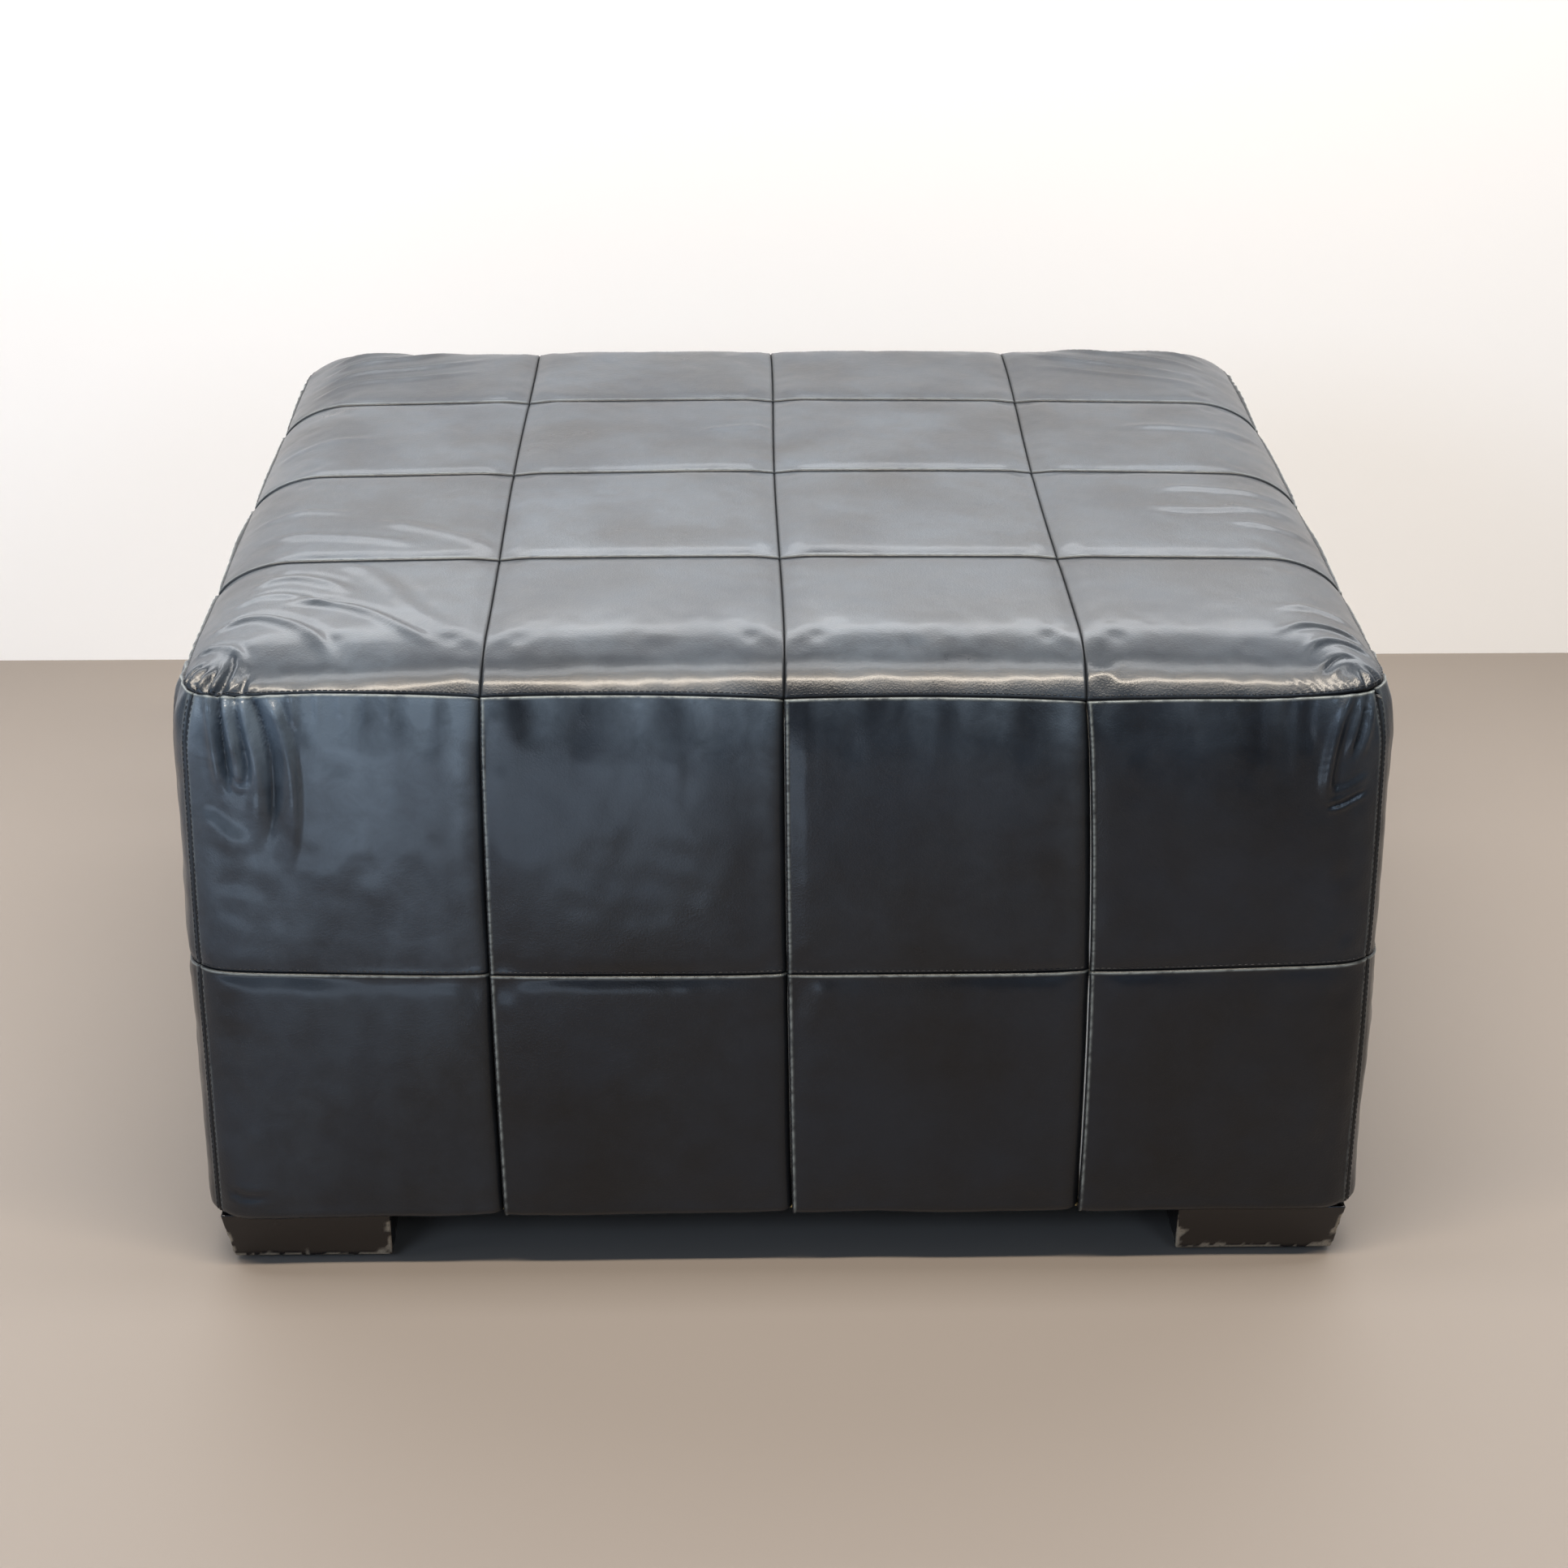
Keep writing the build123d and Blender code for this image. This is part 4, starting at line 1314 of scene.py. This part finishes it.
def sideLayer(side, inset, stops):
    run, v = np.meshgrid(fullRun(cover["sideCornerRun"]), stops, indexing="ij")
    points = sideSurface(side, run, v)
    rise = np.where(v > 1, (v - 1) * (topSeam - midSeam), (1 - v) * lowerRun)
    rims = np.exp(-((rise / layers["seamWidth"]) ** 2))
    rims += np.exp(-(((sideHalfRun - np.abs(run)) / layers["seamWidth"]) ** 2))
    rims += np.exp(-(((2 - v) * (topSeam - midSeam) / layers["seamWidth"]) ** 2))
    press = seamPress(run, rims) + 3.0 * (1 - softStep((v - 0.2) / 0.12))
    local = turned(points, -sideTurn[side])
    press = np.maximum(press, foldPress(local[..., [0, 2]], sideFolds[side]))
    return points - surfaceNormals(points) * (inset + press)[..., None]


# Joins points closer than this many mm and turns all faces outwards.
def weldMesh(piece, distance):
    work = bmesh.new()
    work.from_mesh(piece.data)
    bmesh.ops.remove_doubles(work, verts=work.verts, dist=distance * mm)
    bmesh.ops.recalc_face_normals(work, faces=work.faces)
    work.to_mesh(piece.data)
    work.free()


# Joins grids (rows of points) into one mesh and welds the borders that meet.
def gridsObject(name, grids, weld=1.5):
    points, faces, start = [], [], 0
    for grid, flip in grids:
        rows, columns = grid.shape[:2]
        quads = gridFaces(rows, columns, start)
        faces.append(quads[:, ::-1] if flip else quads)
        points.append(grid.reshape(-1, 3))
        start += rows * columns
    piece = meshObject(name, np.concatenate(points), np.concatenate(faces))
    weldMesh(piece, weld)
    return piece


def finishSoft(piece, material, slot, *nodes):
    piece.data.materials.append(material)
    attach(piece, rootBody)
    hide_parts(*nodes)


def rimBetween(outer, inner):
    return np.stack([outer, inner], axis=1)


deckTop = boxMm("plywood_deck")[1][2]
allStops = np.concatenate([np.linspace(0.06, 1, 24), np.linspace(1, 2, 26)[1:]])
deckShare = 1 + (deckTop - midSeam) / (topSeam - midSeam)


def makeWadding():
    spec = layers["wadding"]
    grids = [(topLayer(spec["outer"]), False), (topLayer(spec["inner"]), True)]
    for side in sideTurn:
        outer, inner = (sideLayer(side, spec[k], allStops) for k in ("outer", "inner"))
        outer[:, -1], inner[:, -1] = borderOf(side, grids[0][0]), borderOf(side, grids[1][0])
        grids += [(outer, False), (inner, True), (rimBetween(outer[:, 0], inner[:, 0]), False)]
    piece = gridsObject("polyester_wrap", grids)
    finishSoft(piece, wadding, "polyester_wadding", "wadding_wrap")


# The top layer's border along one side, in the order that side's own run goes.
def borderOf(side, grid):
    borders = {
        "front": grid[:, 0],
        "right": grid[-1, :],
        "back": grid[::-1, -1],
        "left": grid[0, ::-1],
    }
    return borders[side]


def makeTopFoam():
    inset = layers["foam"]["outer"]
    top = topLayer(inset)
    grids = [(top, False)]
    stops = np.linspace(deckShare + 0.003, 2, 14)
    for side in sideTurn:
        skirt = sideLayer(side, inset, stops)
        skirt[:, -1] = borderOf(side, top)
        skirt[:, 0, 2] = deckTop + 0.1
        centre = np.zeros_like(skirt[:, 0]) + (0, 0, deckTop + 0.1)
        grids += [(skirt, False), (rimBetween(skirt[:, 0], centre), False)]
    piece = gridsObject("seat_foam", grids, weld=0.8)
    finishSoft(piece, foam, "upholstery_foam", "top_foam")


def makeSideFoams():
    inset = layers["foam"]["outer"]
    for side in sideTurn:
        low, _ = boxMm(f"side_foam_{side}")
        stops = np.linspace(0.24, deckShare - 0.003, 34)
        outer = sideLayer(side, inset, stops)
        outer[:, 0, 2] = low[2]
        inner = turned(outer, -sideTurn[side])
        inner[..., 1] = boxMm("side_skin_front")[0][1] - 0.1
        inner[..., 0] = np.clip(inner[..., 0], inner[..., 1], -inner[..., 1])
        inner = turned(inner, sideTurn[side])
        grids = [(outer, False), (inner, True)]
        grids += [(rimBetween(outer[:, k], inner[:, k]), False) for k in (0, -1)]
        grids += [(rimBetween(outer[k], inner[k]), False) for k in (0, -1)]
        piece = gridsObject(f"foam_{side}", grids, weld=0.3)
        finishSoft(piece, foam, "upholstery_foam", f"side_foam_{side}")


makeWadding()
makeTopFoam()
makeSideFoams()
print("soft layers made")


# Underside cloth: spunbond sheet stapled every few cm; it hangs slack between feet and rails.
underCloth = {"sag": 2.6, "spacing": 6.0}


def makeUnderCloth():
    low, high = boxMm("dust_cover")
    half = high[0]
    line = np.linspace(-half, half, int(2 * half / underCloth["spacing"]))
    x, y = np.meshgrid(line, line, indexing="ij")
    edge = np.minimum(half - np.abs(x), half - np.abs(y))
    footEdge = boxMm("foot_front_right")[0][0]
    inFromCorner = np.minimum(np.abs(x), np.abs(y)) - footEdge
    free = softStep((edge - 18) / 90) * softStep(-inFromCorner / 60)
    flat = np.stack([x, y], axis=-1)
    drop = underCloth["sag"] * free * (1 + 0.25 * ripples(flat, (60, 160), 91))
    scallop = 0.5 * np.abs(np.sin(math.pi * (x + y) / 62)) * np.exp(-edge / 22)
    scallop = scallop * (inFromCorner < 0) * (edge > 3)
    points = np.stack([x, y, (low[2] + high[2]) / 2 - drop - scallop], axis=-1)
    faces = gridFaces(len(line), len(line), 0)[:, ::-1]
    piece = meshObject("dust_cloth", points.reshape(-1, 3), faces)
    piece.data.materials.append(spunbond)
    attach(piece, rootBody)
    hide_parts("dust_cover")


makeUnderCloth()


# Feet: solid blocks, slightly rounded, with knocks along the edges where the lacquer is gone.
footLook = {
    "edge": 1.4,
    "taper": 7.0,  # outer faces lean in this much by the floor
    "chipDepth": 0.7,
    "wornLine": 2.9,  # height above the floor to which the whole foot is scuffed
    "spacing": 2.0,
}


def footGrid(length):
    edge = footLook["edge"]
    count = int((length - 2 * edge) / footLook["spacing"])
    middle = np.linspace(edge, length - edge, count)
    rounded = edge * (1 - np.cos(np.linspace(0, math.pi / 2, 6)))
    return np.concatenate([rounded[:-1], middle, length - rounded[-2::-1]])


def footFaces(size):
    lines = [footGrid(length) for length in size]
    for axis in range(3):
        first, second = [k for k in range(3) if k != axis]
        a, b = np.meshgrid(lines[first], lines[second], indexing="ij")
        for end in (0, 1):
            grid = np.zeros(a.shape + (3,))
            grid[..., first], grid[..., second] = a, b
            grid[..., axis] = size[axis] * end
            yield grid, (end == 0) != (axis == 1)


def makeFoot(corner, seed):
    node = f"foot_{corner}"
    low, high = boxMm(node)
    size = high - low
    middle = (low + high) / 2
    outX, outY = np.sign(middle[0]), np.sign(middle[1])
    edge = footLook["edge"]
    points, faces, chips, start = [], [], [], 0
    for grid, flip in footFaces(size):
        inner = np.clip(grid, edge, size - edge)
        way = grid - inner
        length = np.linalg.norm(way, axis=-1)[..., None]
        way = way / np.maximum(length, 1e-9)
        spot = inner + way * edge + low
        gaps = np.sort(np.minimum(spot - low, high - spot), axis=-1)
        noise = ripples(spot, (5, 16), seed) + 0.6 * ripples(spot, (22, 60), seed + 1)
        fromFloor = spot[..., 2] - low[2]
        fromEnds = [spot - low, high - spot]
        fromSide = np.minimum(fromEnds[int(outX > 0)][..., 0], fromEnds[int(outY > 0)][..., 1])
        rim = np.exp(-gaps[..., 1] / (3.6 + 1.6 * np.clip(noise, -1, 1)))
        upright = 0.8 * np.exp(-fromSide / 5) * (fromFloor < size[2] - 6)
        exposed = np.maximum(np.exp(-fromFloor / 5), upright)
        chip = softStep((rim * (0.15 + 1.8 * exposed) + 0.2 * noise - 0.9) / 0.3)
        worn = (footLook["wornLine"] + 1.1 * noise - fromFloor) / 0.9  # scuffed all along the floor
        chip = np.maximum(chip, 0.9 * softStep(worn) * (fromSide < size.max() / 2))
        if corner == "front_right":
            knockAt = (high[0] - 4, low[1] + 3, low[2] + 1)
            knock = np.linalg.norm((spot - knockAt) / (9, 8, 5), axis=-1)
            chip = np.maximum(chip, softStep((1.15 - knock + 0.12 * noise) / 0.25))
        inward = (middle - spot) / np.linalg.norm(middle - spot, axis=-1)[..., None]
        spot = spot + inward * (chip * footLook["chipDepth"])[..., None]
        lean = footLook["taper"] * (1 - (spot[..., 2] - low[2]) / size[2])
        across = (spot[..., 0] - middle[0]) * outX / size[0] + 0.5
        deep = (spot[..., 1] - middle[1]) * outY / size[1] + 0.5
        spot[..., 0] -= outX * lean * across
        spot[..., 1] -= outY * lean * deep
        rows, columns = spot.shape[:2]
        quads = gridFaces(rows, columns, start)
        faces.append(quads[:, ::-1] if flip else quads)
        points.append(spot.reshape(-1, 3))
        chips.append(chip.ravel())
        start += rows * columns
    attributes = {"chip": np.concatenate(chips)}
    piece = meshObject(node + "_block", np.concatenate(points), np.concatenate(faces), attributes)
    weldMesh(piece, 0.05)
    piece.data.materials.append(footLacquer)
    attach(piece, rootBody)
    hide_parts(node)


for number, corner in enumerate(("front_left", "front_right", "back_right", "back_left")):
    makeFoot(corner, 60 + number)
print("feet made")


# Frame parts keep their own shape and take a finish


def dress(names, material):
    for name in names:
        for thing in bpy.data.objects:
            named = thing.name == name or thing.name.startswith(name + ".")
            if named and thing.type == "MESH":
                thing.data.materials.clear()
                thing.data.materials.append(material)


cadNodes = [node["name"] if isinstance(node, dict) else node for node in frame["nodes"]]
finishes = (
    (("base_rail", "top_rail", "corner_post", "corner_blocks", "deck_bearers"), pine),
    (("plywood_deck",), plywood),
    (("side_skin",), hardboard),
    (("foot_glides",), glideNylon),
    (("hanger_bolts", "tee_nuts", "frame_screws", "hem_staples"), zincSteel),
)
for starts, material in finishes:
    dress([name for name in cadNodes if name.startswith(starts)], material)
print("frame dressed")


# Stage, light and camera
stageLook = {"floor": "#857c74", "wall": "#f8f8f9", "wallY": 0.82, "reach": 6.0}


def plainMaterial(name, colour, roughness):
    material, tree, shader = newMaterial(name)
    shader.inputs["Base Color"].default_value = linear(colour)
    shader.inputs["Roughness"].default_value = roughness
    return material


# The wall is a wall only from its painted side, so that the block can be seen from behind too.
def openFromBehind(material):
    tree = material.node_tree
    side = (addNode(tree, "ShaderNodeNewGeometry"), "Backfacing")
    clear = addNode(tree, "ShaderNodeBsdfTransparent")
    painted = tree.nodes["Principled BSDF"]
    sockets = {0: side, 1: (painted, "BSDF"), 2: (clear, "BSDF")}
    both = addNode(tree, "ShaderNodeMixShader", {}, sockets)
    tree.links.new(both.outputs["Shader"], tree.nodes["Material Output"].inputs["Surface"])


def stagePlane(name, corners, material):
    plane = meshObject(name, np.array(corners) / mm, [[0, 1, 2, 3]], smooth=False)
    plane.data.materials.append(material)


reach = stageLook["reach"]
wallY = stageLook["wallY"]
square = np.array([(-1, -1), (1, -1), (1, 1), (-1, 1)]) * reach
floorMaterial = plainMaterial("matt floor", stageLook["floor"], 0.6)
wallMaterial = plainMaterial("painted wall", stageLook["wall"], 0.9)
openFromBehind(wallMaterial)
stagePlane("floor", [(x, y, 0) for x, y in square], floorMaterial)
stagePlane("wall", [(x, wallY, max(z, 0)) for x, z in square], wallMaterial)

lights = {  # where it is, what it faces, its size in metres, watts, colour
    "overhead": ((0.0, -0.98, 2.4), (0, -0.4, 0.44), (2.4, 0.15), 76, "#fff1de"),
    "backPanel": ((0.0, 0.79, 1.19), (0, -1.0, 0.9), (4.4, 0.9), 50, "#f3f7fb"),
    "floorCard": ((-0.62, -1.5, 0.02), (-0.62, -1.5, 1.0), (1.05, 0.85), 9.5, "#bcd4ee"),
    "leftCard": ((-1.7, -2.6, 1.5), (-0.3, -0.4, 0.3), (1.3, 0.8), 22, "#b4d0f2"),
    "leftEdge": ((-2.6, -1.0, 0.9), (-0.4, -0.4, 0.3), (0.7, 1.0), 9, "#cfdff0"),
    "frontCard": ((1.2, -2.8, 1.6), (0, -0.4, 0.35), (0.7, 0.8), 10, "#bcd8f6"),
    "backWash": ((0.0, -0.2, 3.2), (0, 0.82, 0.6), (4.0, 0.5), 72, "#fbfdff"),
}


def aimAt(thing, target):
    way = Vector(target) - thing.location
    thing.rotation_euler = way.to_track_quat("-Z", "Y").to_euler()


for name, (at, aim, size, power, colour) in lights.items():
    data = bpy.data.lights.new(name, "AREA")
    data.shape = "RECTANGLE"
    data.size, data.size_y = size
    data.energy = power
    data.color = linear(colour)[:3]
    thing = bpy.data.objects.new(name, data)
    thing.location = at
    thing.visible_camera = False
    bpy.context.scene.collection.objects.link(thing)
    aimAt(thing, aim)
print("stage lit")

world = bpy.data.worlds.new("soft room")
world.use_nodes = True
air = world.node_tree
dim = air.nodes["Background"]
dim.inputs["Color"].default_value = linear("#e6ebf0")
dim.inputs["Strength"].default_value = 0.12
pale = addNode(air, "ShaderNodeBackground", {}, {"Color": linear("#eeeeee"), "Strength": 1.0})
seen = (addNode(air, "ShaderNodeLightPath"), "Is Camera Ray")  # lights little, looks pale
sockets = {0: seen, 1: (dim, "Background"), 2: (pale, "Background")}
sky = addNode(air, "ShaderNodeMixShader", {}, sockets)
air.links.new(sky.outputs["Shader"], air.nodes["World Output"].inputs["Surface"])
bpy.context.scene.world = world
bpy.context.scene.view_settings.view_transform = "Standard"

cameraView = {
    "at": (-0.0423, -2.4076, 1.2062),
    "down": 22.698,  # degrees below level
    "turnRight": 1.165,
    "roll": 0.125,
    "focalMm": 75.76,
    "sensorMm": 36.0,
}
cameraData = bpy.data.cameras.new("camera")
cameraData.lens = cameraView["focalMm"]
cameraData.sensor_width = cameraView["sensorMm"]
cameraData.dof.use_dof = False
camera = bpy.data.objects.new("camera", cameraData)
camera.location = cameraView["at"]
camera.rotation_mode = "XYZ"
down, turnRight = math.radians(90 - cameraView["down"]), math.radians(cameraView["turnRight"])
camera.rotation_euler = (down, 0.0, -turnRight)
camera.rotation_euler.rotate_axis("Z", math.radians(cameraView["roll"]))
bpy.context.scene.collection.objects.link(camera)
bpy.context.scene.camera = camera
